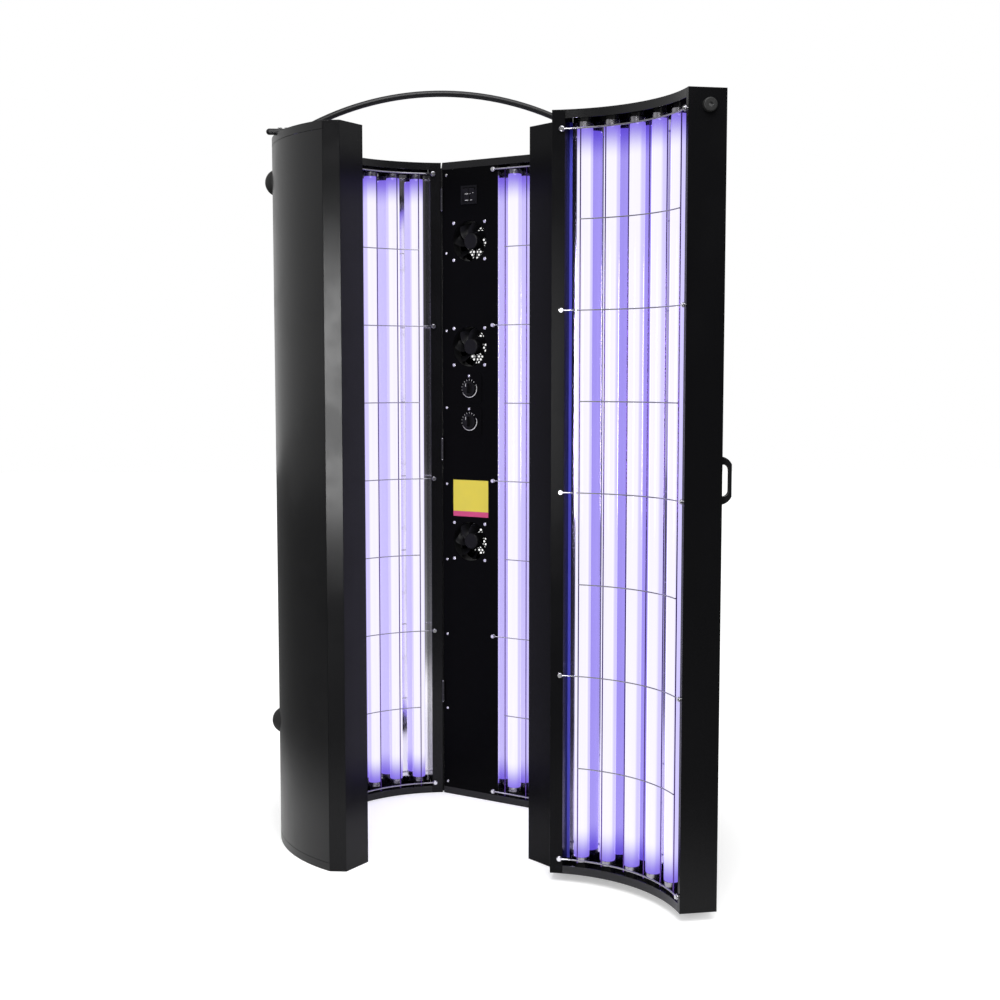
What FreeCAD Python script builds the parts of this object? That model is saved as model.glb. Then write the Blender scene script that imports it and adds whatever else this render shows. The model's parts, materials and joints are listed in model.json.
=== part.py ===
import FreeCAD, Part

import math
import os

from FreeCAD import Placement, Rotation, Vector

# Vertical tanning booth: two curved lamp shells joined along a rear hinge line, a curved lamp
# door hung on the right-hand shell, a braced tube across the top and a control strip inside.
# Millimetres, +Z up.  Plan angles are in degrees, clockwise from the rear seam as seen from above.

# ---------------------------------------------------------------- casing
CASE_HEIGHT = 1850.0
INNER_RADIUS = 335.0
WALL_DEPTH = 110.0
SECTOR = 72.0
BAND_WIDTH = 42.0
# How far a post's flat band runs outward from the corner of its end face to the outer skin.
BAND_STEP = 22.0
DOOR_BAND_STEP = 5.0
# Width of the inner lip on the post at each panel's start and at its end.
SHELL_LIP_WIDTHS = (31.0, 24.0)
DOOR_LIP_WIDTHS = (31.0, 14.0)
SHEET = 1.5
SKIN_SHEET = 1.2
RIM_HEIGHT = 20.0
SEAM = 1.0
EDGE_GAP = 0.4

# ---------------------------------------------------------------- how the three panels meet
SPLAY = 0.8
REAR_GAP = 3.8
DOOR_GAP = 4.0
DOOR_OPEN = 132.7
DOOR_FLOOR_GAP = 22.0
DOOR_RISE = 10.0

# ---------------------------------------------------------------- lamps and reflectors
LAMP_RADIUS = 19.0
LAMP_END_MARGIN = 33.0
LAMP_FRONT_GAP = 14.0
LAMP_BACK_GAP = 12.0
LAMP_END_HEIGHT = 12.0
GLASS_WALL = 0.8
LAMP_PIN_RADIUS = 1.2
LAMP_PIN_LENGTH = 7.0
LAMP_PIN_SPACING = 12.7
PIN_CLEARANCE = 0.1
SOCKET_WIDTH = 26.0
SOCKET_THICKNESS = 20.0
SHELL_LAMPS = 12
SHELL_LAMP_PITCH = 11.0
SECTOR_LAMPS = 6
SECTOR_LAMP_MIDDLE = 37.2
SECTOR_LAMP_PITCH = 10.6
DOOR_LAMP_MIDDLE = 38.5
FLAT_LAMPS = 3
FLAT_LAMP_GAP = 38.0
FLAT_LAMP_MARGIN = 26.8
REFLECTOR_SHEET = 0.8
REFLECTOR_FOLD_INSET = 3.0
BALLAST_WIDTH = 62.0
BALLAST_HEIGHT = 240.0
# Share of the space between reflector and skin that a ballast fills.
BALLAST_FILL = 0.74
# Foot of each ballast row, as a share of the casing height, and the plan angles they stand at.
BALLAST_ROWS = (0.27, 0.6)
LEFT_BALLASTS = (36.0, 72.0, 108.0)
RIGHT_BALLASTS = (60.0, 90.0, 118.0)
DOOR_BALLASTS = (24.0, 48.0)

# ---------------------------------------------------------------- wire guards
WIRE_RADIUS = 1.5
HEAVY_WIRE_RADIUS = 2.0
WIRE_SETBACK = 4.0
GUARD_MARGIN_SHELL = (31.0, 32.0)
GUARD_MARGIN_DOOR = (38.0, 45.0)
# How far the middle level wire stands above mid-height; the wires draw closer together towards the top.
GUARD_BOW_SHELL = 15.0
GUARD_BOW_DOOR = 22.0
GUARD_ROWS = 9
SHELL_GUARD_WIRES = 12
SECTOR_GUARD_WIRES = 6
SECTOR_GUARD_MIDDLE = 37.4
SECTOR_GUARD_PITCH = 10.75
DOOR_GUARD_MIDDLE = 38.7
FLAT_GUARD_WIRES = 3
FLAT_GUARD_GAP = 27.0
GUARD_BREAK = 3.0
GUARD_END_OVERHANG = 7.0
# How far the studs stand from the post's edge, at each panel's start and at its end.
SHELL_STUD_INSETS = (23.0, 16.0)
DOOR_STUD_INSETS = (24.0, 8.0)
STUD_RADIUS = 3.0
STUD_LENGTH = 9.0
STUD_HEAD_RADIUS = 4.8
STUD_HEAD_HEIGHT = 2.2
LOOP_CLEARANCE = 0.1

# ---------------------------------------------------------------- control strip
PANEL_WIDTH = 189.0
PANEL_LIP = 32.0
PANEL_SCREW_INSET = 17.0
PANEL_SCREW_MARGIN = 37.0
PANEL_SCREWS = 9
SCREW_RADIUS = 2.0
SCREW_HEAD_RADIUS = 3.8
SCREW_HEAD_HEIGHT = 2.4
SCREW_LENGTH = 9.0
SCREW_CLEARANCE = 0.1
CONTROL_CENTRE = 95.0
PANEL_STUD_INSET = 12.0

# Heights on the strip, each measured down from the piece above it.
SWITCH_DROP = 97.0
UPPER_FAN_DROP = 130.0
MIDDLE_FAN_DROP = 300.0
UPPER_TIMER_DROP = 120.0
LOWER_TIMER_DROP = 95.0
LOWER_FAN_DROP = 348.0
CONTACTOR_DROP = 280.0

SWITCH_SIZE = (54.0, 52.0)
SWITCH_BEZEL = 3.0
SWITCH_BODY = (48.0, 24.0, 46.0)
ROCKER_SIZE = (18.0, 38.0, 9.0)
ROCKER_GAP = 4.0
ROCKER_CLEARANCE = 0.8
ROCKER_PIVOT_DEPTH = 1.0
ROCKER_PIN_RADIUS = 1.5
ROCKER_TILT = 8.0
ROCKER_BACK_SHARE = 0.7
RUNNING_CLEARANCE = 0.05

FAN_SIZE = 120.0
FAN_DEPTH = 38.0
FAN_BORE_RADIUS = 57.0
FAN_HOLE_SPACING = 105.0
FAN_HUB_RADIUS = 23.0
FAN_HUB_DEPTH = 24.0
FAN_BLADES = 7
FAN_BLADE_SHEET = 1.8
FAN_BLADE_PITCH = 40.0
FAN_BLADE_FILL = 0.9
FAN_TIP_CLEARANCE = 2.5
FAN_BACK_CLEARANCE = 0.4
FAN_SHAFT_RADIUS = 3.0
FAN_SHAFT_LENGTH = 8.0
FAN_STRUT_WIDTH = 6.0
FAN_STRUT_DEPTH = 4.0
FAN_MOTOR_RADIUS = 22.0
FAN_MOTOR_DEPTH = 10.0
FAN_SCREW_RADIUS = 2.1
FAN_SCREW_HEAD_RADIUS = 4.8

TIMER_PLATE = (84.0, 84.0)
TIMER_PLATE_SHEET = 1.6
TIMER_PLATE_CORNER = 12.0
TIMER_SCREW_RISE = 36.0
TIMER_BODY = (60.0, 40.0, 70.0)
KNOB_RADIUS = 21.0
KNOB_SKIRT = 5.0
KNOB_GRIP_RADIUS = 15.0
KNOB_GRIP_HEIGHT = 14.0
KNOB_GRIP_WIDTH = 9.0
KNOB_SHAFT_RADIUS = 3.0
KNOB_SHAFT_BITE = 12.0
KNOB_LIFT = 0.6

CONTACTOR_SIZE = (60.0, 62.0, 84.0)

VENT_ANGLE = 18.0
VENT_RADIUS = 56.0
VENT_HOLE_RADIUS = 3.2
VENT_PITCH = 10.0

# ---------------------------------------------------------------- hinges
HINGE_FOOT = 308.0
HINGE_DROP = 106.0
HINGE_LENGTH = 60.0
KNUCKLE_RADIUS = 5.0
KNUCKLE_GAP = 0.4
HINGE_PIN_RADIUS = 2.5
PIN_HEAD_HEIGHT = 2.0
PIN_HEAD_RADIUS = 3.6
LEAF_SHEET = 2.0
LEAF_WIDTH = 30.0
DOOR_AXIS_RISE = 6.5
REAR_KNUCKLE_RADIUS = 3.5
REAR_PIN_RADIUS = 1.6
REAR_LEAF_SHEET = 1.2
REAR_LEAF_WIDTH = 34.0
REAR_AXIS_DROP = 4.6

# ---------------------------------------------------------------- outside fittings
BRACE_RADIUS = 8.0
BRACE_RISE = 108.0
BRACE_ARC_RADIUS = 738.0
BRACE_BEND_RADIUS = 60.0
BRACE_OVERHANG = 2.0
BRACE_SETBACK = 110.0
BRACE_SCREW_RADIUS = 3.0
BRACE_SCREW_HEAD_RADIUS = 6.0
BRACE_SCREW_HEAD_HEIGHT = 3.5
BRACE_SCREW_SPACING = 17.0
BRACE_SCREW_INSET = 27.0
BRACE_SCREW_SEAT = 1.5
BRACE_SCREW_CLEARANCE = 0.15

WALL_BUMPER_RADIUS = 32.0
WALL_BUMPER_HEIGHT = 20.0
WALL_BUMPER_ANGLE = 92.0
WALL_BUMPER_FOOT = 311.0
WALL_BUMPER_DROP = 107.0

DOOR_BUMPER_RADIUS = 15.5
DOOR_BUMPER_HEIGHT = 11.0
DOOR_BUMPER_DROP = 38.0
DOOR_BUMPER_INSET = 47.5
DOOR_BUMPER_BORE = 5.0
DOOR_BUMPER_SCREW_RADIUS = 2.5
DOOR_BUMPER_SCREW_HEAD = 4.6
DOOR_BUMPER_SCREW_SINK = 3.0

HANDLE_RISE = 80.0
HANDLE_LENGTH = 108.0
HANDLE_REACH = 25.0
HANDLE_GRIP = 5.5
HANDLE_WIDTH = 16.0
HANDLE_FOOT = 20.0
HANDLE_SHOULDER = 18.0
# Where the bow's curves pass: shares of its reach, of its shoulder and of its grip's thickness.
HANDLE_OUTER_BULGE = (0.72, 0.55)
HANDLE_INNER_BULGE = (0.86, 0.6)
HANDLE_INNER_RUN = 2.0
HANDLE_SCREW_RADIUS = 2.0
HANDLE_SCREW_HEAD_RADIUS = 4.0
HANDLE_SCREW_LENGTH = 12.0

GLAND_ANGLE = 40.0
GLAND_Z = 90.0
GLAND_RADIUS = 12.0
GLAND_NUT_RADIUS = 14.0
GLAND_NUT_HEIGHT = 8.0
GLAND_LENGTH = 26.0
GLAND_BORE = 5.0

# ---------------------------------------------------------------- worked-out sizes
SHELL_SPAN = 2 * SECTOR
OUTER_RADIUS = INNER_RADIUS + WALL_DEPTH
CORNER_RADIUS = OUTER_RADIUS - BAND_STEP
DOOR_OUTER_RADIUS = CORNER_RADIUS + DOOR_BAND_STEP
LAMP_DEPTH = LAMP_FRONT_GAP + LAMP_RADIUS
REFLECTOR_DEPTH = LAMP_DEPTH + LAMP_RADIUS + LAMP_BACK_GAP
REFLECTOR_RADIUS = INNER_RADIUS + REFLECTOR_DEPTH
BRACE_HALF_SPAN = OUTER_RADIUS + BRACE_OVERHANG
LAMP_CIRCLE = INNER_RADIUS + LAMP_DEPTH
WIRE_CIRCLE = INNER_RADIUS - WIRE_SETBACK
CHORD_DISTANCE = INNER_RADIUS * math.cos(math.radians(SECTOR / 2))
CHORD_LENGTH = 2 * INNER_RADIUS * math.sin(math.radians(SECTOR / 2))
SHELL_START = math.degrees(REAR_GAP / 2 / INNER_RADIUS)
DOOR_OFFSET = math.degrees(DOOR_GAP / INNER_RADIUS)
DOOR_FOOT = DOOR_FLOOR_GAP
DOOR_TOP = CASE_HEIGHT + DOOR_RISE
LAMP_LENGTH = CASE_HEIGHT - 2 * LAMP_END_MARGIN
FLAT_LAMP_FIRST = PANEL_WIDTH + FLAT_LAMP_GAP
FLAT_LAMP_PITCH = (CHORD_LENGTH - FLAT_LAMP_FIRST - FLAT_LAMP_MARGIN) / (FLAT_LAMPS - 1)
FLAT_GUARD_FIRST = PANEL_WIDTH + FLAT_GUARD_GAP
SWITCH_Z = CASE_HEIGHT - SWITCH_DROP
UPPER_FAN_Z = SWITCH_Z - UPPER_FAN_DROP
MIDDLE_FAN_Z = UPPER_FAN_Z - MIDDLE_FAN_DROP
UPPER_TIMER_Z = MIDDLE_FAN_Z - UPPER_TIMER_DROP
LOWER_TIMER_Z = UPPER_TIMER_Z - LOWER_TIMER_DROP
LOWER_FAN_Z = LOWER_TIMER_Z - LOWER_FAN_DROP
FAN_Z = {"upper": UPPER_FAN_Z, "middle": MIDDLE_FAN_Z, "lower": LOWER_FAN_Z}
TIMER_Z = {"upper": UPPER_TIMER_Z, "lower": LOWER_TIMER_Z}
CONTACTOR_Z = LOWER_FAN_Z - CONTACTOR_DROP
HINGE_TOP = CASE_HEIGHT - HINGE_DROP
HINGE_HEIGHTS = (HINGE_FOOT, (HINGE_FOOT + HINGE_TOP) / 2, HINGE_TOP)
WALL_BUMPER_HEIGHTS = (WALL_BUMPER_FOOT, CASE_HEIGHT - WALL_BUMPER_DROP)
HANDLE_Z = CASE_HEIGHT / 2 + HANDLE_RISE
UP = Vector(0, 0, 1)


# ---------------------------------------------------------------- plan geometry
def polar(radius, angle, z=0.0):
    turn = math.radians(angle)
    return Vector(radius * math.sin(turn), radius * math.cos(turn), z)


def bend_angle(radius, depth):
    """Plan angle at which a plane behind the flat wall meets a circle round the booth's centre."""
    return SECTOR / 2 + math.degrees(math.acos((CHORD_DISTANCE + depth) / radius))


def degrees_along(length, radius):
    return math.degrees(length / radius)


def band_angle(outer):
    """Plan angle that a post's flat band spans, from its corner out to the skin's radius."""
    squares = CORNER_RADIUS ** 2 + outer ** 2 - BAND_WIDTH ** 2
    return math.degrees(math.acos(squares / (2 * CORNER_RADIUS * outer)))


def chord_radius(angle, depth=0.0):
    """Distance from the centre of a point on the flat wall, or on a plane that lies behind it."""
    return (CHORD_DISTANCE + depth) / math.cos(math.radians(SECTOR / 2 - angle))


def arc_edge(radius, first, last, z=0.0):
    middle = (first + last) / 2
    return Part.Arc(polar(radius, first, z), polar(radius, middle, z), polar(radius, last, z)).toShape()


def line_edge(first, last):
    return Part.LineSegment(first, last).toShape()


def extrude_edges(edges, low, high):
    face = Part.Face(Part.Wire(edges))
    face.translate(Vector(0, 0, low))
    return face.extrude(Vector(0, 0, high - low))


def ring_sector(inner, outer, first, last, low, high):
    edges = [
        arc_edge(inner, first, last),
        line_edge(polar(inner, last), polar(outer, last)),
        arc_edge(outer, last, first),
        line_edge(polar(outer, first), polar(inner, first)),
    ]
    return extrude_edges(edges, low, high)


def prism(points, low, high):
    face = Part.Face(Part.makePolygon(points + [points[0]]))
    face.translate(Vector(0, 0, low))
    return face.extrude(Vector(0, 0, high - low))


def offset_path(points, distance):
    """Shift an open path sideways, to its left for a positive distance, with mitred corners."""
    normals = []
    for start, end in zip(points, points[1:]):
        run = (end - start).normalize()
        normals.append(Vector(-run.y, run.x, 0))
    shifted = [points[0] + normals[0] * distance]
    for before, after, point in zip(normals, normals[1:], points[1:]):
        bisector = (before + after).normalize()
        shifted.append(point + bisector * (distance / bisector.dot(before)))
    shifted.append(points[-1] + normals[-1] * distance)
    return shifted


def bent_sheet(points, thickness, low, high):
    """Folded sheet whose outside follows the path and whose wall lies to the path's left."""
    return prism(points + offset_path(points, thickness)[::-1], low, high)


def post_sheet(points, thickness, low, high):
    """Folded post: a bent sheet whose last edge is trimmed to face the outer skin's edge squarely."""
    inside = offset_path(points, thickness)
    band = (points[-1] - points[-2]).normalize()
    radial = Vector(points[-1]).normalize()
    slope = abs(band.cross(radial).z)
    inside[-1] = points[-1] - radial * (SHEET / slope)
    return prism(points + inside[::-1], low, high)


def flat_point(along, depth=0.0):
    """Point in the shell's plan, given along the flat wall from the seam and behind its face."""
    turn = math.radians(SECTOR / 2)
    return Vector(along * math.cos(turn) + depth * math.sin(turn),
                  INNER_RADIUS - along * math.sin(turn) + depth * math.cos(turn), 0)


def on_flat(shape):
    """Move a piece from the flat wall's own axes (along, depth, up) into the shell's plan."""
    place = Placement(Vector(0, INNER_RADIUS, 0), Rotation(UP, -SECTOR / 2))
    shape.Placement = place.multiply(shape.Placement)
    return shape


def radially(shape, angle):
    """Turn a piece that was made on the rear seam line to another plan angle."""
    shape.Placement = Placement(Vector(), Rotation(UP, -angle)).multiply(shape.Placement)
    return shape


def group(shapes):
    return Part.makeCompound(shapes)


def fused(shapes):
    return shapes[0].fuse(shapes[1:]).removeSplitter()


def cylinder(radius, length, base, direction=UP):
    return Part.makeCylinder(radius, length, base, direction)


def box(width, depth, height, centre, base_z):
    return Part.makeBox(width, depth, height, Vector(centre.x - width / 2, centre.y - depth / 2, base_z))


# ---------------------------------------------------------------- where each panel stands
REAR_AXIS = Vector(0, INNER_RADIUS - REAR_AXIS_DROP, 0)


def turned_about(point, angle):
    return Placement(Vector(), Rotation(UP, angle), point)


RIGHT_PLACE = turned_about(REAR_AXIS, SPLAY)
LEFT_PLACE = turned_about(REAR_AXIS, -SPLAY)
DOOR_AXIS = RIGHT_PLACE.multVec(polar(CORNER_RADIUS + DOOR_AXIS_RISE, SHELL_SPAN + DOOR_OFFSET / 2))
DOOR_CLOSED_PLACE = RIGHT_PLACE.multiply(Placement(Vector(), Rotation(UP, -SHELL_SPAN - DOOR_OFFSET)))
DOOR_PLACE = turned_about(DOOR_AXIS, DOOR_OPEN).multiply(DOOR_CLOSED_PLACE)


def seat(shape, panel):
    """Stand a piece, made in a panel's own plan, where that panel is in the open booth."""
    if panel == "left":
        shape = shape.mirror(Vector(), Vector(1, 0, 0))
    place = {"left": LEFT_PLACE, "right": RIGHT_PLACE, "door": DOOR_PLACE}[panel]
    shape.Placement = place.multiply(shape.Placement)
    return shape


# ---------------------------------------------------------------- folded casing
def end_post(end, sense, low, high, lip_width, outer):
    """Folded post: return wall, inner lip, end face and flat band, its plan running back from the end."""
    lip = end - sense * degrees_along(lip_width, INNER_RADIUS)
    path = [
        polar(REFLECTOR_RADIUS, lip),
        polar(INNER_RADIUS, lip),
        polar(INNER_RADIUS, end),
        polar(CORNER_RADIUS, end),
        polar(outer, end - sense * band_angle(outer)),
    ]
    return post_sheet(path, sense * SHEET, low + SHEET, high - SHEET)


def panel_rear_post(end, low, high):
    """Folded post at the seam of the flat wall: its lip lies behind the control panel."""
    corner = polar(chord_radius(end, SHEET), end)
    path = [
        flat_point(PANEL_LIP, SHEET),
        corner,
        polar(CORNER_RADIUS, end),
        polar(OUTER_RADIUS, end + band_angle(OUTER_RADIUS)),
    ]
    post = post_sheet(path, -SHEET, low + SHEET, high - SHEET)
    holes = [on_flat(into_panel(SCREW_RADIUS + SCREW_CLEARANCE, z, 0, 3 * SHEET, along))
             for along, z in panel_screw_places()]
    return post.cut(holes)


def outer_skin(first, last, low, high, outer):
    edge = band_angle(outer) + degrees_along(EDGE_GAP, outer)
    margin = RIM_HEIGHT + SEAM
    return ring_sector(outer - SKIN_SHEET, outer, first + edge, last - edge, low + margin, high - margin)


def cap_plate(first, last, low, outer, flat):
    """Closing plate over the panel and its posts, cut to the panel's whole plan."""
    if flat:
        inner = [line_edge(polar(chord_radius(first), first), polar(INNER_RADIUS, SECTOR)),
                 arc_edge(INNER_RADIUS, SECTOR, last)]
        inner_start = polar(chord_radius(first), first)
    else:
        inner = [arc_edge(INNER_RADIUS, first, last)]
        inner_start = polar(INNER_RADIUS, first)
    far_corner = polar(CORNER_RADIUS, last)
    near_corner = polar(CORNER_RADIUS, first)
    edges = inner + [
        line_edge(polar(INNER_RADIUS, last), far_corner),
        line_edge(far_corner, polar(outer, last - band_angle(outer))),
        arc_edge(outer, last - band_angle(outer), first + band_angle(outer)),
        line_edge(polar(outer, first + band_angle(outer)), near_corner),
        line_edge(near_corner, inner_start),
    ]
    return extrude_edges(edges, low, low + SHEET)


def flat_rim(first, last, low, high):
    """Inner rim that runs straight along the flat wall and then round the curved one."""
    start = INNER_RADIUS * math.tan(math.radians(first)) + EDGE_GAP
    back = INNER_RADIUS + SHEET
    bend = bend_angle(back, SHEET)
    edges = [
        line_edge(flat_point(start), polar(INNER_RADIUS, SECTOR)),
        arc_edge(INNER_RADIUS, SECTOR, last),
        line_edge(polar(INNER_RADIUS, last), polar(back, last)),
        arc_edge(back, last, bend),
        line_edge(polar(back, bend), flat_point(start, SHEET)),
        line_edge(flat_point(start, SHEET), flat_point(start)),
    ]
    return extrude_edges(edges, low, high)


def cap(first, last, plate_low, rim_low, lips, outer, flat):
    """End cap: plate with a turned rim along the inner and outer walls, between the posts."""
    rim_high = rim_low + RIM_HEIGHT
    start = first + degrees_along(lips[0] + EDGE_GAP, INNER_RADIUS)
    end = last - degrees_along(lips[1] + EDGE_GAP, INNER_RADIUS)
    edge = band_angle(outer) + degrees_along(EDGE_GAP, outer)
    rims = [ring_sector(outer - SHEET, outer, first + edge, last - edge, rim_low, rim_high)]
    if flat:
        rims.append(flat_rim(first, end, rim_low, rim_high))
    else:
        rims.append(ring_sector(INNER_RADIUS, INNER_RADIUS + SHEET, start, end, rim_low, rim_high))
    return fused([cap_plate(first, last, plate_low, outer, flat)] + rims)


def bottom_cap(first, last, low, lips, outer, flat=False):
    return cap(first, last, low, low, lips, outer, flat)


def top_cap(first, last, high, lips, outer, flat=False):
    return cap(first, last, high - SHEET, high - RIM_HEIGHT, lips, outer, flat)


def reflector(first, last, low, high):
    """Polished sheet behind the lamps, from one return wall to the other."""
    margin = RIM_HEIGHT + SEAM
    return ring_sector(REFLECTOR_RADIUS - REFLECTOR_SHEET, REFLECTOR_RADIUS, first, last,
                       low + margin, high - margin)


def flat_reflector(low, high):
    """Flat polished sheet behind the lamps of the flat wall, folded forward along the control strip."""
    margin = RIM_HEIGHT + SEAM
    height = high - low - 2 * margin
    foot = low + margin
    radius = REFLECTOR_RADIUS - REFLECTOR_SHEET
    bend = bend_angle(radius, REFLECTOR_DEPTH - REFLECTOR_SHEET)
    end = CHORD_LENGTH / 2 + radius * math.sin(math.radians(bend - SECTOR / 2))
    sheet = Part.makeBox(end - PANEL_WIDTH, REFLECTOR_SHEET, height,
                         Vector(PANEL_WIDTH, REFLECTOR_DEPTH - REFLECTOR_SHEET, foot))
    fold = Part.makeBox(REFLECTOR_SHEET, REFLECTOR_DEPTH - REFLECTOR_FOLD_INSET, height,
                        Vector(PANEL_WIDTH, REFLECTOR_FOLD_INSET, foot))
    return on_flat(sheet.fuse(fold).removeSplitter())


# ---------------------------------------------------------------- lamps
def arc_spots(middle, count, pitch):
    """Plan places of lamps spread evenly about an angle, each with the angle that it faces."""
    angles = [middle + (index - (count - 1) / 2) * pitch for index in range(count)]
    return [(polar(LAMP_CIRCLE, angle), angle) for angle in angles]


def flat_spots():
    return [(flat_point(FLAT_LAMP_FIRST + index * FLAT_LAMP_PITCH, LAMP_DEPTH), SECTOR / 2)
            for index in range(FLAT_LAMPS)]


def lamp_foot(low, high):
    return (low + high - LAMP_LENGTH) / 2


def lamp_tubes(spots, low, high):
    foot = lamp_foot(low, high) + LAMP_END_HEIGHT
    length = LAMP_LENGTH - 2 * LAMP_END_HEIGHT
    tubes = []
    for place, angle in spots:
        base = place + UP * foot
        bore = cylinder(LAMP_RADIUS - GLASS_WALL, length, base)
        tubes.append(cylinder(LAMP_RADIUS, length, base).cut(bore))
    return tubes


def lamp_end():
    """Metal end cap with its two contact pins, standing on its glass side at the origin."""
    pieces = [cylinder(LAMP_RADIUS, LAMP_END_HEIGHT, Vector())]
    for side in (-1, 1):
        foot = Vector(side * LAMP_PIN_SPACING / 2, 0, LAMP_END_HEIGHT)
        pieces.append(cylinder(LAMP_PIN_RADIUS, LAMP_PIN_LENGTH, foot))
    return fused(pieces)


def socket(height):
    """Lamp holder block with two contact holes in its underside, hanging from a cap plate."""
    body = box(SOCKET_WIDTH, SOCKET_THICKNESS, height, Vector(), 0)
    body = body.makeFillet(SOCKET_THICKNESS / 4, [edge for edge in body.Edges if edge.Length == height])
    for side in (-1, 1):
        foot = Vector(side * LAMP_PIN_SPACING / 2, 0, 0)
        body = body.cut(cylinder(LAMP_PIN_RADIUS + PIN_CLEARANCE, LAMP_PIN_LENGTH + PIN_CLEARANCE, foot))
    return body


def at_lamp_ends(piece, spots, low, high, foot_from_middle):
    """Copy a piece to both ends of every lamp; it is made for the upper end."""
    middle = (low + high) / 2
    copies = []
    for place, angle in spots:
        upper = piece.copy()
        upper.Placement = Placement(place + UP * (middle + foot_from_middle), Rotation(UP, -angle))
        lower = piece.copy()
        flip = Rotation(UP, -angle).multiply(Rotation(Vector(1, 0, 0), 180))
        lower.Placement = Placement(place + UP * (middle - foot_from_middle), flip)
        copies += [upper, lower]
    return copies


def lamp_ends(spots, low, high):
    return at_lamp_ends(lamp_end(), spots, low, high, LAMP_LENGTH / 2 - LAMP_END_HEIGHT)


def lamp_sockets(spots, low, high):
    height = (high - low - LAMP_LENGTH) / 2 - SHEET
    return at_lamp_ends(socket(height), spots, low, high, LAMP_LENGTH / 2)


def ballasts(angles, low, outer):
    """Ballast blocks screwed to the inside of the outer skin, in two rows."""
    width, height = BALLAST_WIDTH, BALLAST_HEIGHT
    inside = outer - SKIN_SHEET
    depth = BALLAST_FILL * (inside - REFLECTOR_RADIUS)
    back = math.sqrt(inside ** 2 - (width / 2) ** 2)
    blocks = []
    for angle in angles:
        for share in BALLAST_ROWS:
            foot = low + share * CASE_HEIGHT
            block = Part.makeBox(width, depth, height, Vector(-width / 2, back - depth, foot))
            blocks.append(radially(block, angle))
    return blocks


# ---------------------------------------------------------------- wire guards
def guard_levels(low, high, margins, bow):
    """Heights of the level wires: every other one is hooked to studs on the posts."""
    bottom = low + margins[0]
    span = high - margins[1] - bottom
    shares = [index / (GUARD_ROWS - 1) for index in range(GUARD_ROWS)]
    return [bottom + share * span + 4 * bow * share * (1 - share) for share in shares]


def is_hooked(index):
    return index % 2 == 0


def wire_radius(index):
    return HEAVY_WIRE_RADIUS if index in (0, GUARD_ROWS - 1) else WIRE_RADIUS


def wire_circle(thickness):
    """Radius of a level wire's centre line: every level wire touches the uprights behind it."""
    return WIRE_CIRCLE + WIRE_RADIUS - thickness


def bent_wire(first, last, z, thickness):
    """Level wire bent round the booth's centre."""
    start = polar(wire_circle(thickness), first, z)
    section = Part.Face(Part.Wire(Part.makeCircle(thickness, start, polar(1, first + 90))))
    return section.revolve(Vector(), UP, first - last)


def loop(place, direction, thickness):
    """Wire eye round a stud."""
    return Part.makeTorus(STUD_RADIUS + thickness + LOOP_CLEARANCE, thickness, place, direction)


def stud(place, direction):
    """Headed stud standing on a lip, pointing into the booth."""
    shank = cylinder(STUD_RADIUS, STUD_LENGTH, place, direction)
    head_foot = place + direction * (STUD_LENGTH - STUD_HEAD_HEIGHT)
    return shank.fuse(cylinder(STUD_HEAD_RADIUS, STUD_HEAD_HEIGHT, head_foot, direction))


def eye_reach(thickness):
    return STUD_RADIUS + 2 * thickness + LOOP_CLEARANCE - WIRE_RADIUS / 2


def upright_wires(places, low, high):
    return [cylinder(WIRE_RADIUS, high - low, place + UP * low) for place in places]


def arc_guard(first, last, uprights, levels, insets, hook_first=True):
    """Curved guard: level wires in front, upright wires behind them, eyes at the hooked ends."""
    first_eye = first + degrees_along(insets[0], INNER_RADIUS)
    last_eye = last - degrees_along(insets[1], INNER_RADIUS)
    wires = []
    for index, z in enumerate(levels):
        thickness = wire_radius(index)
        radius = wire_circle(thickness)
        start = uprights[0] if hook_first else first
        if not is_hooked(index):
            wires.append(bent_wire(start, uprights[-1], z, thickness))
            continue
        reach = degrees_along(eye_reach(thickness), radius)
        eyes = [last_eye]
        if hook_first:
            start = first_eye + reach
            eyes.append(first_eye)
        wire = bent_wire(start, last_eye - reach, z, thickness)
        wires.append(wire.fuse([loop(polar(radius, eye, z), polar(1, eye), thickness) for eye in eyes]))
    places = [polar(WIRE_CIRCLE + 2 * WIRE_RADIUS, angle) for angle in uprights]
    return wires + upright_wires(places, levels[0] - GUARD_END_OVERHANG, levels[-1] + WIRE_RADIUS)


def flat_guard(levels):
    """Flat guard beside the control strip, from its studs to the bend of the wall."""
    stud_along = PANEL_WIDTH - PANEL_STUD_INSET
    end = CHORD_LENGTH / 2 + WIRE_CIRCLE * math.sin(math.radians(SECTOR / 2)) - GUARD_BREAK
    wires = []
    for index, z in enumerate(levels):
        thickness = wire_radius(index)
        depth = WIRE_RADIUS - WIRE_SETBACK - thickness
        if is_hooked(index):
            start = stud_along + eye_reach(thickness)
            wire = cylinder(thickness, end - start, Vector(start, depth, z), Vector(1, 0, 0))
            wires.append(on_flat(wire.fuse(loop(Vector(stud_along, depth, z), Vector(0, 1, 0), thickness))))
        else:
            start = Vector(FLAT_GUARD_FIRST, depth, z)
            wires.append(on_flat(cylinder(thickness, end - FLAT_GUARD_FIRST, start, Vector(1, 0, 0))))
    places = [flat_point(FLAT_GUARD_FIRST + index * FLAT_LAMP_PITCH, 2 * WIRE_RADIUS - WIRE_SETBACK)
              for index in range(FLAT_GUARD_WIRES)]
    return wires + upright_wires(places, levels[0] - GUARD_END_OVERHANG, levels[-1] + WIRE_RADIUS)


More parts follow.
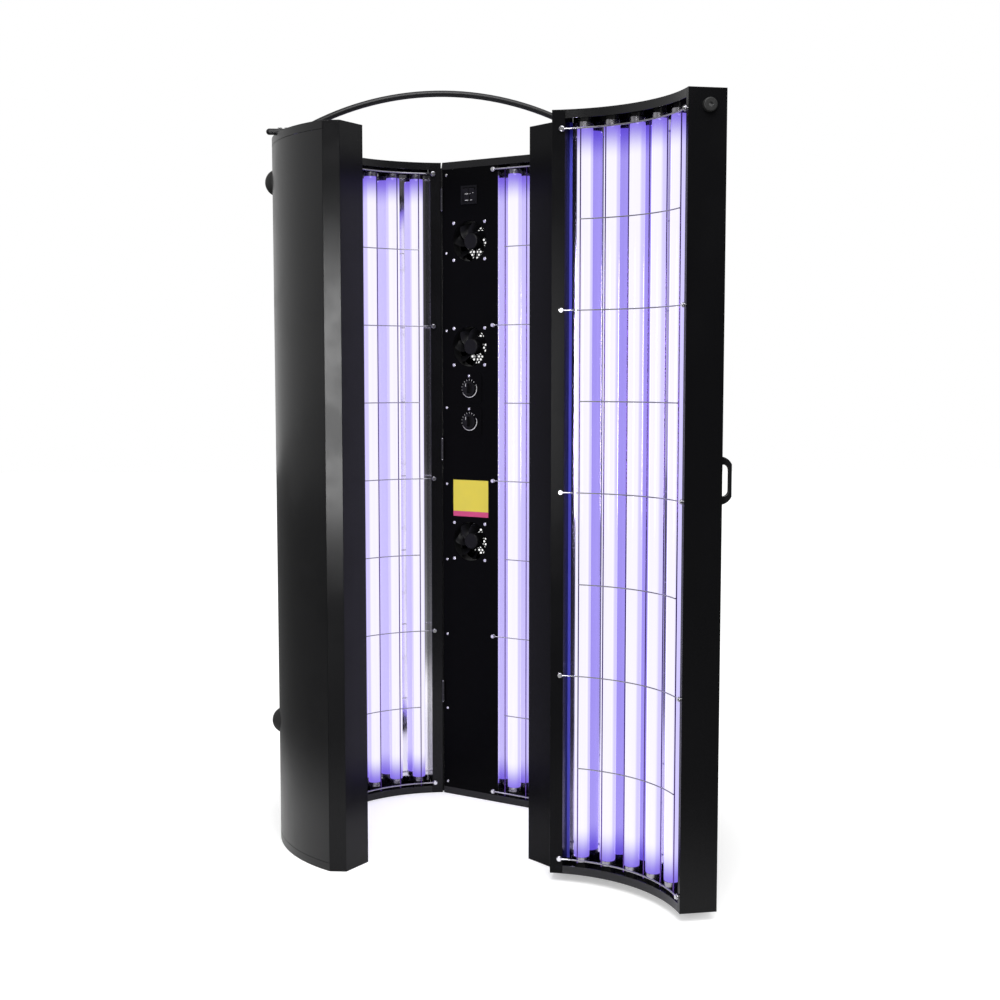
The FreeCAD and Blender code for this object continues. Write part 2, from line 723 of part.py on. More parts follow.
def post_studs(ends, levels):
    """Studs on the posts' lips; ends gives each post's angle, its lip's sense and width, and the inset."""
    studs = []
    for end, sense, lip_width, inset in ends:
        lip = end - sense * degrees_along(lip_width, INNER_RADIUS)
        edge = polar(INNER_RADIUS, end)
        foot = edge + (polar(INNER_RADIUS, lip) - edge) * (inset / lip_width)
        studs += [stud(foot + UP * z, polar(-1, (end + lip) / 2)) for z in levels[::2]]
    return studs


def spread(middle, count, pitch):
    return [middle + (index - (count - 1) / 2) * pitch for index in range(count)]


# ---------------------------------------------------------------- control strip
def panel_box(width, depth, height, centre_z, front):
    """Block centred on the control strip's middle line; front is how far its face lies behind the panel."""
    return Part.makeBox(width, depth, height,
                        Vector(CONTROL_CENTRE - width / 2, front, centre_z - height / 2))


def into_panel(radius, z, front, length, along=CONTROL_CENTRE):
    return cylinder(radius, length, Vector(along, front, z), Vector(0, 1, 0))


def fan_hole_places(z):
    half = FAN_HOLE_SPACING / 2
    return [(CONTROL_CENTRE + side * half, z + rise * half) for side in (-1, 1) for rise in (-1, 1)]


def panel_screw_places():
    step = (CASE_HEIGHT - 2 * PANEL_SCREW_MARGIN) / (PANEL_SCREWS - 1)
    return [(PANEL_SCREW_INSET, PANEL_SCREW_MARGIN + index * step) for index in range(PANEL_SCREWS)]


def timer_screw_places():
    return [(CONTROL_CENTRE, z + TIMER_SCREW_RISE) for z in TIMER_Z.values()]


def control_panel():
    """Black front sheet of the control strip with a return wall to the reflector."""
    margin = RIM_HEIGHT + SEAM
    start = INNER_RADIUS * math.tan(math.radians(SHELL_START)) + EDGE_GAP
    path = [Vector(start, 0, 0), Vector(PANEL_WIDTH, 0, 0), Vector(PANEL_WIDTH, REFLECTOR_DEPTH, 0)]
    sheet = bent_sheet(path, SHEET, margin, CASE_HEIGHT - margin)
    cuts = [panel_box(SWITCH_BODY[0] + EDGE_GAP, 4 * SHEET, SWITCH_BODY[2] + EDGE_GAP, SWITCH_Z, -SHEET)]
    for z in FAN_Z.values():
        cuts.append(into_panel(FAN_BORE_RADIUS, z, -SHEET, 4 * SHEET))
        cuts += [into_panel(FAN_SCREW_RADIUS + SCREW_CLEARANCE, hole_z, -SHEET, 4 * SHEET, along)
                 for along, hole_z in fan_hole_places(z)]
    for z in TIMER_Z.values():
        cuts.append(into_panel(2 * KNOB_SHAFT_RADIUS, z, -SHEET, 4 * SHEET))
    for along, z in panel_screw_places() + timer_screw_places():
        cuts.append(into_panel(SCREW_RADIUS + SCREW_CLEARANCE, z, -SHEET, 4 * SHEET, along))
    return on_flat(sheet.cut(group(cuts)))


def dome_screw(radius, length, head_radius, head_height, along, z, front):
    """Pan-head screw driven into the flat wall; front is where its head sits."""
    shank = into_panel(radius, z, front, length, along)
    head = into_panel(head_radius, z, front - head_height, head_height, along)
    rim = [edge for edge in head.Edges if abs(edge.CenterOfMass.y - front + head_height) < head_height / 4]
    return head.makeFillet(head_height / 2, rim[:1]).fuse(shank)


def panel_screws():
    screws = [dome_screw(SCREW_RADIUS, SCREW_LENGTH, SCREW_HEAD_RADIUS, SCREW_HEAD_HEIGHT, along, z, 0)
              for along, z in panel_screw_places()]
    screws += [dome_screw(SCREW_RADIUS, SCREW_LENGTH, SCREW_HEAD_RADIUS, SCREW_HEAD_HEIGHT, along, z,
                          -TIMER_PLATE_SHEET) for along, z in timer_screw_places()]
    return [on_flat(screw) for screw in screws]


def fan_screws():
    screws = []
    for z in FAN_Z.values():
        for along, hole_z in fan_hole_places(z):
            screws.append(on_flat(dome_screw(FAN_SCREW_RADIUS, FAN_DEPTH / 2, FAN_SCREW_HEAD_RADIUS,
                                             SCREW_HEAD_HEIGHT, along, hole_z, 0)))
    return screws


def rocker_centres():
    offset = (ROCKER_SIZE[0] + ROCKER_GAP) / 2
    return {"left": CONTROL_CENTRE - offset, "right": CONTROL_CENTRE + offset}


def rocker_pivot(side):
    return Vector(rocker_centres()[side], ROCKER_PIVOT_DEPTH, SWITCH_Z)


def switch_bezel():
    """Switch housing behind the panel with a raised bezel, a well and pivot holes for each rocker."""
    plate = panel_box(SWITCH_SIZE[0], SWITCH_BEZEL, SWITCH_SIZE[1], SWITCH_Z, -SWITCH_BEZEL)
    body = panel_box(SWITCH_BODY[0], SWITCH_BODY[1], SWITCH_BODY[2], SWITCH_Z, 0)
    housing = plate.fuse(body)
    cuts = []
    width = ROCKER_SIZE[0] + 2 * ROCKER_CLEARANCE
    height = ROCKER_SIZE[1] + 4 * ROCKER_CLEARANCE
    depth = SWITCH_BEZEL + ROCKER_PIVOT_DEPTH + 2 * ROCKER_SIZE[2]
    for side, centre in rocker_centres().items():
        cuts.append(Part.makeBox(width, depth, height,
                                 Vector(centre - width / 2, -SWITCH_BEZEL, SWITCH_Z - height / 2)))
    span = SWITCH_BODY[0] - 2 * SHEET
    start = Vector(CONTROL_CENTRE - span / 2, ROCKER_PIVOT_DEPTH, SWITCH_Z)
    cuts.append(cylinder(ROCKER_PIN_RADIUS + RUNNING_CLEARANCE, span, start, Vector(1, 0, 0)))
    return on_flat(housing.cut(group(cuts)))


def rocker(side):
    """Rocker with a shallow V face and two stub pivots; it rests pressed in at its lower end."""
    width, height, depth = ROCKER_SIZE
    pivot = rocker_pivot(side)
    half = height / 2
    rise = half * math.tan(math.radians(ROCKER_TILT))
    front = pivot.y - SWITCH_BEZEL
    outline = [
        Vector(0, front - rise / 2, -half),
        Vector(0, front + rise / 2, 0),
        Vector(0, front - rise / 2, half),
        Vector(0, front + depth, half * ROCKER_BACK_SHARE),
        Vector(0, front + depth, -half * ROCKER_BACK_SHARE),
    ]
    face = Part.Face(Part.makePolygon(outline + [outline[0]]))
    key = face.extrude(Vector(width, 0, 0))
    key.translate(Vector(pivot.x - width / 2, 0, SWITCH_Z))
    pin_length = width + ROCKER_GAP - ROCKER_CLEARANCE
    pin = cylinder(ROCKER_PIN_RADIUS, pin_length, Vector(pivot.x - pin_length / 2, pivot.y, SWITCH_Z),
                   Vector(1, 0, 0))
    key = key.fuse(pin)
    key.rotate(pivot, Vector(1, 0, 0), ROCKER_TILT)
    return on_flat(key)


def fan_frame(z):
    """Square fan housing behind the panel, with a round duct, four struts and a motor cup."""
    body = panel_box(FAN_SIZE, FAN_DEPTH, FAN_SIZE, z, SHEET)
    cuts = [into_panel(FAN_BORE_RADIUS, z, 0, FAN_DEPTH + 2 * SHEET)]
    cuts += [into_panel(FAN_SCREW_RADIUS + SCREW_CLEARANCE, hole_z, 0, FAN_DEPTH + 2 * SHEET, along)
             for along, hole_z in fan_hole_places(z)]
    body = body.cut(group(cuts))
    back = SHEET + FAN_DEPTH
    struts = []
    for turn in range(4):
        bar = Part.makeBox(FAN_BORE_RADIUS + FAN_STRUT_WIDTH / 2, FAN_STRUT_DEPTH, FAN_STRUT_WIDTH,
                           Vector(CONTROL_CENTRE, back - FAN_STRUT_DEPTH, z - FAN_STRUT_WIDTH / 2))
        bar.rotate(Vector(CONTROL_CENTRE, 0, z), Vector(0, 1, 0), 45 + 90 * turn)
        struts.append(bar)
    cup = into_panel(FAN_MOTOR_RADIUS, z, back - FAN_MOTOR_DEPTH, FAN_MOTOR_DEPTH)
    bearing = into_panel(FAN_SHAFT_RADIUS + RUNNING_CLEARANCE, z, 0, back - SHEET)
    return on_flat(body.fuse(struts + [cup]).cut(bearing))


def fan_rotor(z):
    """Hub with pitched blades and a stub shaft that runs in the motor cup."""
    back = SHEET + FAN_DEPTH - FAN_MOTOR_DEPTH - FAN_BACK_CLEARANCE
    front = back - FAN_HUB_DEPTH
    hub = into_panel(FAN_HUB_RADIUS, z, front, FAN_HUB_DEPTH)
    front_edge = [edge for edge in hub.Edges if abs(edge.CenterOfMass.y - front) < FAN_HUB_DEPTH / 8]
    hub = hub.makeFillet(FAN_HUB_DEPTH / 8, front_edge[:1])
    tip = FAN_BORE_RADIUS - FAN_TIP_CLEARANCE
    chord = FAN_BLADE_FILL * FAN_HUB_DEPTH / math.sin(math.radians(FAN_BLADE_PITCH))
    centre_y = front + FAN_HUB_DEPTH / 2
    blades = []
    for index in range(FAN_BLADES):
        blade = Part.makeBox(tip - FAN_HUB_RADIUS / 2, chord, FAN_BLADE_SHEET,
                             Vector(FAN_HUB_RADIUS / 2, -chord / 2, -FAN_BLADE_SHEET / 2))
        blade.rotate(Vector(), Vector(1, 0, 0), 90 - FAN_BLADE_PITCH)
        blade.rotate(Vector(), Vector(0, 1, 0), 360.0 * index / FAN_BLADES)
        blade.translate(Vector(CONTROL_CENTRE, centre_y, z))
        blades.append(blade)
    swept = into_panel(tip, z, front, FAN_HUB_DEPTH)
    wheel = hub.fuse([blade.common(swept) for blade in blades])
    shaft = into_panel(FAN_SHAFT_RADIUS, z, back - SHEET, FAN_SHAFT_LENGTH + SHEET)
    return on_flat(wheel.fuse(shaft))


def timer_plate(z):
    """Rounded square escutcheon on the panel."""
    width, height = TIMER_PLATE
    plate = panel_box(width, TIMER_PLATE_SHEET, height, z, -TIMER_PLATE_SHEET)
    corners = [edge for edge in plate.Edges if abs(edge.Length - TIMER_PLATE_SHEET) < SHEET / 100]
    plate = plate.makeFillet(TIMER_PLATE_CORNER, corners)
    screw = into_panel(SCREW_RADIUS + SCREW_CLEARANCE, z + TIMER_SCREW_RISE, -2 * TIMER_PLATE_SHEET,
                       3 * TIMER_PLATE_SHEET)
    return on_flat(plate.cut([into_panel(2 * KNOB_SHAFT_RADIUS, z, -2 * TIMER_PLATE_SHEET,
                                         3 * TIMER_PLATE_SHEET), screw]))


def timer_body(z):
    """Clockwork timer case on the back of the panel, with the bush for the knob's spindle."""
    width, depth, height = TIMER_BODY
    body = panel_box(width, depth, height, z, SHEET)
    bush = into_panel(KNOB_SHAFT_RADIUS + RUNNING_CLEARANCE, z, 0, KNOB_SHAFT_BITE + SHEET)
    screw = into_panel(SCREW_RADIUS + SCREW_CLEARANCE, z + TIMER_SCREW_RISE, 0, SCREW_LENGTH)
    return on_flat(body.cut([bush, screw]))


def timer_knob(z):
    """Knob with a round skirt, a raised finger bar and the spindle that it turns."""
    skirt_front = -TIMER_PLATE_SHEET - KNOB_LIFT - KNOB_SKIRT
    skirt = into_panel(KNOB_RADIUS, z, skirt_front, KNOB_SKIRT)
    grip_front = skirt_front - KNOB_GRIP_HEIGHT
    grip = into_panel(KNOB_GRIP_RADIUS, z, grip_front, KNOB_GRIP_HEIGHT)
    bar = panel_box(KNOB_GRIP_WIDTH, KNOB_GRIP_HEIGHT, 2 * KNOB_GRIP_RADIUS, z, grip_front)
    spindle_length = KNOB_SHAFT_BITE - skirt_front - KNOB_LIFT
    spindle = into_panel(KNOB_SHAFT_RADIUS, z, skirt_front, spindle_length)
    return on_flat(skirt.fuse([grip.common(bar), spindle]))


def contactor():
    width, depth, height = CONTACTOR_SIZE
    return on_flat(panel_box(width, depth, height, CONTACTOR_Z, SHEET))


# ---------------------------------------------------------------- hinges
def knuckle_spans(z):
    """Three knuckles of a hinge, from its foot up, with a small gap between them."""
    length = (HINGE_LENGTH - 2 * KNUCKLE_GAP) / 3
    foot = z - HINGE_LENGTH / 2
    return [(foot + index * (length + KNUCKLE_GAP), length) for index in range(3)]


def hinge_leaf(leaf_points, axis, z, knuckles, radius, pin_radius, web):
    """Leaf plate with its share of the knuckles, bored for the pin."""
    foot = z - HINGE_LENGTH / 2
    pieces = [prism(leaf_points, foot, foot + HINGE_LENGTH)]
    spans = [knuckle_spans(z)[index] for index in knuckles]
    for low, length in spans:
        pieces.append(cylinder(radius, length, axis + UP * low))
        pieces.append(prism(web, low, low + length))
    leaf = fused(pieces)
    bore = cylinder(pin_radius + RUNNING_CLEARANCE, HINGE_LENGTH, axis + UP * foot)
    cleared = [cylinder(radius + KNUCKLE_GAP, length, axis + UP * low)
               for index, (low, length) in enumerate(knuckle_spans(z)) if index not in knuckles]
    return leaf.cut([bore] + cleared)


def hinge_pin(axis, z, radius, head_radius):
    foot = z - HINGE_LENGTH / 2
    shank = cylinder(radius, HINGE_LENGTH, axis + UP * foot)
    heads = [cylinder(head_radius, PIN_HEAD_HEIGHT, axis + UP * (foot - PIN_HEAD_HEIGHT)),
             cylinder(head_radius, PIN_HEAD_HEIGHT, axis + UP * (foot + HINGE_LENGTH))]
    return shank.fuse(heads)


def band_leaf(end, sense, outer):
    """Plan of a leaf lying on a post's flat band, and of the web from it to the knuckle."""
    corner = polar(CORNER_RADIUS, end)
    along = (polar(outer, end - sense * band_angle(outer)) - corner).normalize()
    outward = Vector(-along.y, along.x, 0)
    if outward.dot(corner) < 0:
        outward = -outward
    start = corner + along * (KNUCKLE_RADIUS / 4)
    far = corner + along * (LEAF_WIDTH + KNUCKLE_RADIUS / 4)
    leaf = [start, far, far + outward * LEAF_SHEET, start + outward * LEAF_SHEET]
    inner = corner + along * (KNUCKLE_RADIUS + LEAF_SHEET)
    return leaf, [start + outward * (LEAF_SHEET / 4), inner + outward * (LEAF_SHEET / 4)]


def door_hinge_leaves(side):
    """Leaves of the door's three hinges: on the right-hand shell's front post or on the door's post."""
    if side == "post":
        axis = polar(CORNER_RADIUS + DOOR_AXIS_RISE, SHELL_SPAN + DOOR_OFFSET / 2)
        leaf, web = band_leaf(SHELL_SPAN, 1, OUTER_RADIUS)
        knuckles = (0, 2)
    else:
        axis = polar(CORNER_RADIUS + DOOR_AXIS_RISE, -DOOR_OFFSET / 2)
        leaf, web = band_leaf(0, -1, DOOR_OUTER_RADIUS)
        knuckles = (1,)
    return [hinge_leaf(leaf, axis, z, knuckles, KNUCKLE_RADIUS, HINGE_PIN_RADIUS, web + [axis])
            for z in HINGE_HEIGHTS]


def door_hinge_pins():
    axis = polar(CORNER_RADIUS + DOOR_AXIS_RISE, SHELL_SPAN + DOOR_OFFSET / 2)
    return [hinge_pin(axis, z, HINGE_PIN_RADIUS, PIN_HEAD_RADIUS) for z in HINGE_HEIGHTS]


def rear_hinge_leaves(knuckles):
    """Leaves of the rear hinges, lying on the posts' rear faces in the seam."""
    base = polar(INNER_RADIUS + SHEET, SHELL_START)
    far = polar(INNER_RADIUS + SHEET + REAR_LEAF_WIDTH, SHELL_START)
    towards_seam = polar(REAR_LEAF_SHEET, SHELL_START - 90)
    leaf = [base, far, far + towards_seam, base + towards_seam]
    web = [base, base + towards_seam, REAR_AXIS]
    return [hinge_leaf(leaf, REAR_AXIS, z, knuckles, REAR_KNUCKLE_RADIUS, REAR_PIN_RADIUS, web)
            for z in HINGE_HEIGHTS]


def rear_hinge_pins():
    return [hinge_pin(REAR_AXIS, z, REAR_PIN_RADIUS, REAR_PIN_RADIUS + SHEET / 2) for z in HINGE_HEIGHTS]


# ---------------------------------------------------------------- outside fittings
def brace_arc(centre, radius, first, last):
    """Part of the bent bar; its angles are measured from straight up, towards +X."""
    start = centre + Vector(radius * math.sin(first), 0, radius * math.cos(first))
    run = Vector(math.cos(first), 0, -math.sin(first))
    section = Part.Face(Part.Wire(Part.makeCircle(BRACE_RADIUS, start, run)))
    return section.revolve(centre, Vector(0, 1, 0), math.degrees(last - first))


def brace_screw_places():
    outermost = BRACE_HALF_SPAN - BRACE_SCREW_INSET
    return [Vector(side * (outermost - step * BRACE_SCREW_SPACING), -BRACE_SETBACK, 0)
            for side in (-1, 1) for step in (0, 1)]


def top_brace():
    """Bent round bar: level feet with domed tips and screw holes, a bend at each foot and a long arch."""
    foot_z = CASE_HEIGHT + BRACE_RADIUS
    arch_centre = Vector(0, -BRACE_SETBACK, CASE_HEIGHT + BRACE_RISE - BRACE_ARC_RADIUS)
    span = BRACE_ARC_RADIUS + BRACE_BEND_RADIUS
    turn = math.acos((foot_z + BRACE_BEND_RADIUS - arch_centre.z) / span)
    bend_x = span * math.sin(turn)
    pieces = [brace_arc(arch_centre, BRACE_ARC_RADIUS, -turn, turn)]
    for side in (-1, 1):
        bend_centre = Vector(side * bend_x, -BRACE_SETBACK, foot_z + BRACE_BEND_RADIUS)
        pieces.append(brace_arc(bend_centre, BRACE_BEND_RADIUS, math.pi, math.pi + side * turn))
        foot = Vector(side * bend_x, -BRACE_SETBACK, foot_z)
        tip = Vector(side * BRACE_HALF_SPAN, -BRACE_SETBACK, foot_z)
        pieces.append(cylinder(BRACE_RADIUS, BRACE_HALF_SPAN - bend_x, foot, Vector(side, 0, 0)))
        pieces.append(Part.makeSphere(BRACE_RADIUS, tip))
    hole = BRACE_SCREW_RADIUS + BRACE_SCREW_CLEARANCE
    seat_radius = BRACE_SCREW_HEAD_RADIUS + BRACE_SCREW_CLEARANCE
    cuts = []
    for place in brace_screw_places():
        cuts.append(cylinder(hole, 4 * BRACE_RADIUS, place + UP * (CASE_HEIGHT - BRACE_RADIUS)))
        seat_z = foot_z + BRACE_RADIUS - BRACE_SCREW_SEAT
        cuts.append(cylinder(seat_radius, BRACE_RADIUS, place + UP * seat_z))
    return fused(pieces).cut(cuts)


def brace_screws():
    screws = []
    for place in brace_screw_places():
        low = CASE_HEIGHT - 2 * SHEET
        high = CASE_HEIGHT + 2 * BRACE_RADIUS - BRACE_SCREW_SEAT
        shank = cylinder(BRACE_SCREW_RADIUS, high - low, place + UP * low)
        head = cylinder(BRACE_SCREW_HEAD_RADIUS, BRACE_SCREW_HEAD_HEIGHT, place + UP * high)
        screws.append(shank.fuse(head))
    return screws


def with_brace_holes(shape):
    hole = BRACE_SCREW_RADIUS + BRACE_SCREW_CLEARANCE
    return shape.cut([cylinder(hole, 4 * SHEET, place + UP * (CASE_HEIGHT - 3 * SHEET))
                      for place in brace_screw_places()])


def wall_bumper(z):
    """Domed rubber pad on the outer skin, its foot cut to the skin's curve."""
    ball = (WALL_BUMPER_RADIUS ** 2 + WALL_BUMPER_HEIGHT ** 2) / (2 * WALL_BUMPER_HEIGHT)
    dome = Part.makeSphere(ball, Vector(0, OUTER_RADIUS + WALL_BUMPER_HEIGHT - ball, z))
    slab_foot = Vector(0, OUTER_RADIUS - WALL_BUMPER_HEIGHT / 2, z)
    slab = cylinder(WALL_BUMPER_RADIUS, 2 * WALL_BUMPER_HEIGHT, slab_foot, Vector(0, 1, 0))
    pad = dome.common(slab)
    skin = cylinder(OUTER_RADIUS, 4 * WALL_BUMPER_RADIUS, Vector(0, 0, z - 2 * WALL_BUMPER_RADIUS))
    return radially(pad.cut(skin), WALL_BUMPER_ANGLE)


def door_face_point(depth, proud, z):
    """Point on or off the door's latch end face, measured outward from its inner edge."""
    radial = polar(INNER_RADIUS + depth, SECTOR)
    away = polar(1, SECTOR + 90)
    return radial + away * proud + UP * z


def door_bumper_place():
    return DOOR_BUMPER_INSET, DOOR_TOP - DOOR_BUMPER_DROP


def door_bumper():
    """Round rubber stop on the latch face with a recess for its screw."""
    depth, z = door_bumper_place()
    away = polar(1, SECTOR + 90)
    pad = cylinder(DOOR_BUMPER_RADIUS, DOOR_BUMPER_HEIGHT, door_face_point(depth, 0, z), away)
    outer = [edge for edge in pad.Edges
             if edge.CenterOfMass.distanceToPoint(door_face_point(depth, DOOR_BUMPER_HEIGHT, z)) < SHEET]
    pad = pad.makeFillet(DOOR_BUMPER_HEIGHT / 4, outer[:1])
    well_floor = door_face_point(depth, DOOR_BUMPER_SCREW_SINK, z)
    well = cylinder(DOOR_BUMPER_BORE, DOOR_BUMPER_HEIGHT, well_floor, away)
    hole = cylinder(DOOR_BUMPER_SCREW_RADIUS + SCREW_CLEARANCE, DOOR_BUMPER_HEIGHT,
                    door_face_point(depth, 0, z), away)
    return pad.cut([well, hole])


def door_bumper_screw():
    depth, z = door_bumper_place()
    away = polar(1, SECTOR + 90)
    shank = cylinder(DOOR_BUMPER_SCREW_RADIUS, 4 * DOOR_BUMPER_SCREW_SINK,
                     door_face_point(depth, -3 * DOOR_BUMPER_SCREW_SINK, z), away)
    head = cylinder(DOOR_BUMPER_SCREW_HEAD, DOOR_BUMPER_SCREW_SINK,
                    door_face_point(depth, DOOR_BUMPER_SCREW_SINK, z), away)
    return head.fuse(shank)


def onto_latch_band(shape):
    """Move a piece from the band's own axes (across, outward, up) onto the latch post's band."""
    corner = polar(CORNER_RADIUS, SECTOR)
    far = polar(DOOR_OUTER_RADIUS, SECTOR - band_angle(DOOR_OUTER_RADIUS))
    across = (corner - far).normalize()
    place = Placement((corner + far) * 0.5, Rotation(across, UP.cross(across), UP, "ZXY"))
    shape.Placement = place.multiply(shape.Placement)
    return shape


def handle_screw_heights():
    offset = (HANDLE_LENGTH - HANDLE_FOOT) / 2
    return (HANDLE_Z - offset, HANDLE_Z + offset)


def door_handle():
    """Bow handle: slim grip between two feet that flare towards the door."""
    half = HANDLE_LENGTH / 2
    grip_half = half - HANDLE_SHOULDER
    inside = HANDLE_REACH - HANDLE_GRIP
    foot_half = half - HANDLE_FOOT
    outer_reach, outer_run = HANDLE_OUTER_BULGE
    inner_reach, inner_run = HANDLE_INNER_BULGE
    outer_shoulder = Vector(0, outer_reach * HANDLE_REACH, grip_half + outer_run * HANDLE_SHOULDER)
    inner_shoulder = Vector(0, inner_reach * inside, foot_half - inner_run * HANDLE_GRIP)

    def low(point):
        return Vector(point.x, point.y, -point.z)

    foot_out = Vector(0, 0, half)
    grip_out = Vector(0, HANDLE_REACH, grip_half)
    grip_in = Vector(0, inside, foot_half - HANDLE_INNER_RUN * HANDLE_GRIP)
    foot_in = Vector(0, 0, foot_half)
    edges = [
        Part.Arc(foot_out, outer_shoulder, grip_out).toShape(),
        line_edge(grip_out, low(grip_out)),
        Part.Arc(low(grip_out), low(outer_shoulder), low(foot_out)).toShape(),
        line_edge(low(foot_out), low(foot_in)),
        Part.Arc(low(foot_in), low(inner_shoulder), low(grip_in)).toShape(),
        line_edge(low(grip_in), grip_in),
        Part.Arc(grip_in, inner_shoulder, foot_in).toShape(),
        line_edge(foot_in, foot_out),
    ]
    bow = Part.Face(Part.Wire(edges)).extrude(Vector(HANDLE_WIDTH, 0, 0))
    bow.translate(Vector(-HANDLE_WIDTH / 2, 0, HANDLE_Z))
    radius = HANDLE_SCREW_RADIUS + SCREW_CLEARANCE
    holes = [cylinder(radius, HANDLE_FOOT / 2, Vector(0, 0, z), Vector(0, 1, 0))
             for z in handle_screw_heights()]
    return onto_latch_band(bow.cut(holes))


def handle_screws():
    """Screws through the band into the handle's feet, their heads inside the post."""
    screws = []
    bite = HANDLE_SCREW_LENGTH - SCREW_HEAD_HEIGHT
    for z in handle_screw_heights():
        seat_point = Vector(0, -SHEET, z)
        foot = seat_point - Vector(0, SCREW_HEAD_HEIGHT, 0)
        head = cylinder(HANDLE_SCREW_HEAD_RADIUS, SCREW_HEAD_HEIGHT, foot, Vector(0, 1, 0))
        shank = cylinder(HANDLE_SCREW_RADIUS, bite, seat_point, Vector(0, 1, 0))
        screws.append(onto_latch_band(head.fuse(shank)))
    return screws


def latch_post():
    post = end_post(SECTOR, 1, DOOR_FOOT, DOOR_TOP, DOOR_LIP_WIDTHS[1], DOOR_OUTER_RADIUS)
    depth, z = door_bumper_place()
    away = polar(1, SECTOR + 90)
    cuts = [cylinder(DOOR_BUMPER_SCREW_RADIUS + SCREW_CLEARANCE, 4 * SHEET,
                     door_face_point(depth, -3 * SHEET, z), away)]
    for hole_z in handle_screw_heights():
        cuts.append(onto_latch_band(cylinder(HANDLE_SCREW_RADIUS + SCREW_CLEARANCE, 4 * SHEET,
                                             Vector(0, -3 * SHEET, hole_z), Vector(0, 1, 0))))
    return post.cut(cuts)


def cable_gland():
    """Cable gland for the supply lead: threaded body with a hexagon nut, through the outer skin."""
    out = Vector(0, 1, 0)
    nut_points = [Vector(GLAND_NUT_RADIUS * math.cos(math.radians(60 * index)), 0,
                         GLAND_NUT_RADIUS * math.sin(math.radians(60 * index))) for index in range(6)]
    nut = Part.Face(Part.makePolygon(nut_points + [nut_points[0]])).extrude(out * GLAND_NUT_HEIGHT)
    nut.translate(Vector(0, OUTER_RADIUS, GLAND_Z))
    body_foot = Vector(0, OUTER_RADIUS - GLAND_LENGTH / 3, GLAND_Z)
    body = cylinder(GLAND_RADIUS - SHEET, GLAND_LENGTH, body_foot, out)
    bore = cylinder(GLAND_BORE, 2 * GLAND_LENGTH, Vector(0, OUTER_RADIUS - GLAND_LENGTH, GLAND_Z), out)
    return radially(nut.fuse(body).cut(bore), GLAND_ANGLE)


def vent_holes(z):
    """Holes of a round perforated vent in the outer skin, in staggered rows."""
    row_pitch = VENT_PITCH * math.sqrt(3) / 2
    rows = int(VENT_RADIUS / row_pitch)
    holes = []
    for row in range(-rows, rows + 1):
        rise = row * row_pitch
        half_width = math.sqrt(VENT_RADIUS ** 2 - rise ** 2)
        shift = VENT_PITCH / 2 if row % 2 else 0.0
        first = math.ceil((-half_width - shift) / VENT_PITCH)
        last = math.floor((half_width - shift) / VENT_PITCH)
        for column in range(first, last + 1):
            turn = degrees_along(column * VENT_PITCH + shift, OUTER_RADIUS)
            foot = Vector(0, OUTER_RADIUS - 3 * SKIN_SHEET, z + rise)
            hole = cylinder(VENT_HOLE_RADIUS, 4 * SKIN_SHEET, foot, Vector(0, 1, 0))
            holes.append(radially(hole, VENT_ANGLE + turn))
    return holes


def right_skin():
    """Right-hand outer skin with a perforated vent behind each fan and the gland's hole."""
    skin = outer_skin(SHELL_START, SHELL_SPAN, 0, CASE_HEIGHT, OUTER_RADIUS)
    holes = [hole for z in FAN_Z.values() for hole in vent_holes(z)]
    gland_hole = cylinder(GLAND_RADIUS - SHEET + EDGE_GAP / 2, 4 * SKIN_SHEET,
                          Vector(0, OUTER_RADIUS - 3 * SKIN_SHEET, GLAND_Z), Vector(0, 1, 0))
    return skin.cut(group(holes + [radially(gland_hole, GLAND_ANGLE)]))


# ---------------------------------------------------------------- the three panels
shell_levels = guard_levels(0, CASE_HEIGHT, GUARD_MARGIN_SHELL, GUARD_BOW_SHELL)
door_levels = guard_levels(DOOR_FOOT, DOOR_TOP, GUARD_MARGIN_DOOR, GUARD_BOW_DOOR)
shell_lips = [degrees_along(width, INNER_RADIUS) for width in SHELL_LIP_WIDTHS]
door_lips = [degrees_along(width, INNER_RADIUS) for width in DOOR_LIP_WIDTHS]
left_spots = arc_spots(SECTOR, SHELL_LAMPS, SHELL_LAMP_PITCH)
right_spots = flat_spots() + arc_spots(SECTOR + SECTOR_LAMP_MIDDLE, SECTOR_LAMPS, SECTOR_LAMP_PITCH)
door_spots = arc_spots(DOOR_LAMP_MIDDLE, SECTOR_LAMPS, SECTOR_LAMP_PITCH)
left_uprights = spread(SECTOR, SHELL_GUARD_WIRES, SHELL_LAMP_PITCH)
right_uprights = [SECTOR] + spread(SECTOR + SECTOR_GUARD_MIDDLE, SECTOR_GUARD_WIRES, SECTOR_GUARD_PITCH)
door_uprights = spread(DOOR_GUARD_MIDDLE, SECTOR_GUARD_WIRES, SECTOR_GUARD_PITCH)

NODES = {}


def add(name, shapes, panel):
    solids = shapes if isinstance(shapes, list) else [shapes]
    seated = [seat(shape, panel) for shape in solids]
    NODES[name] = seated[0] if len(seated) == 1 else group(seated)


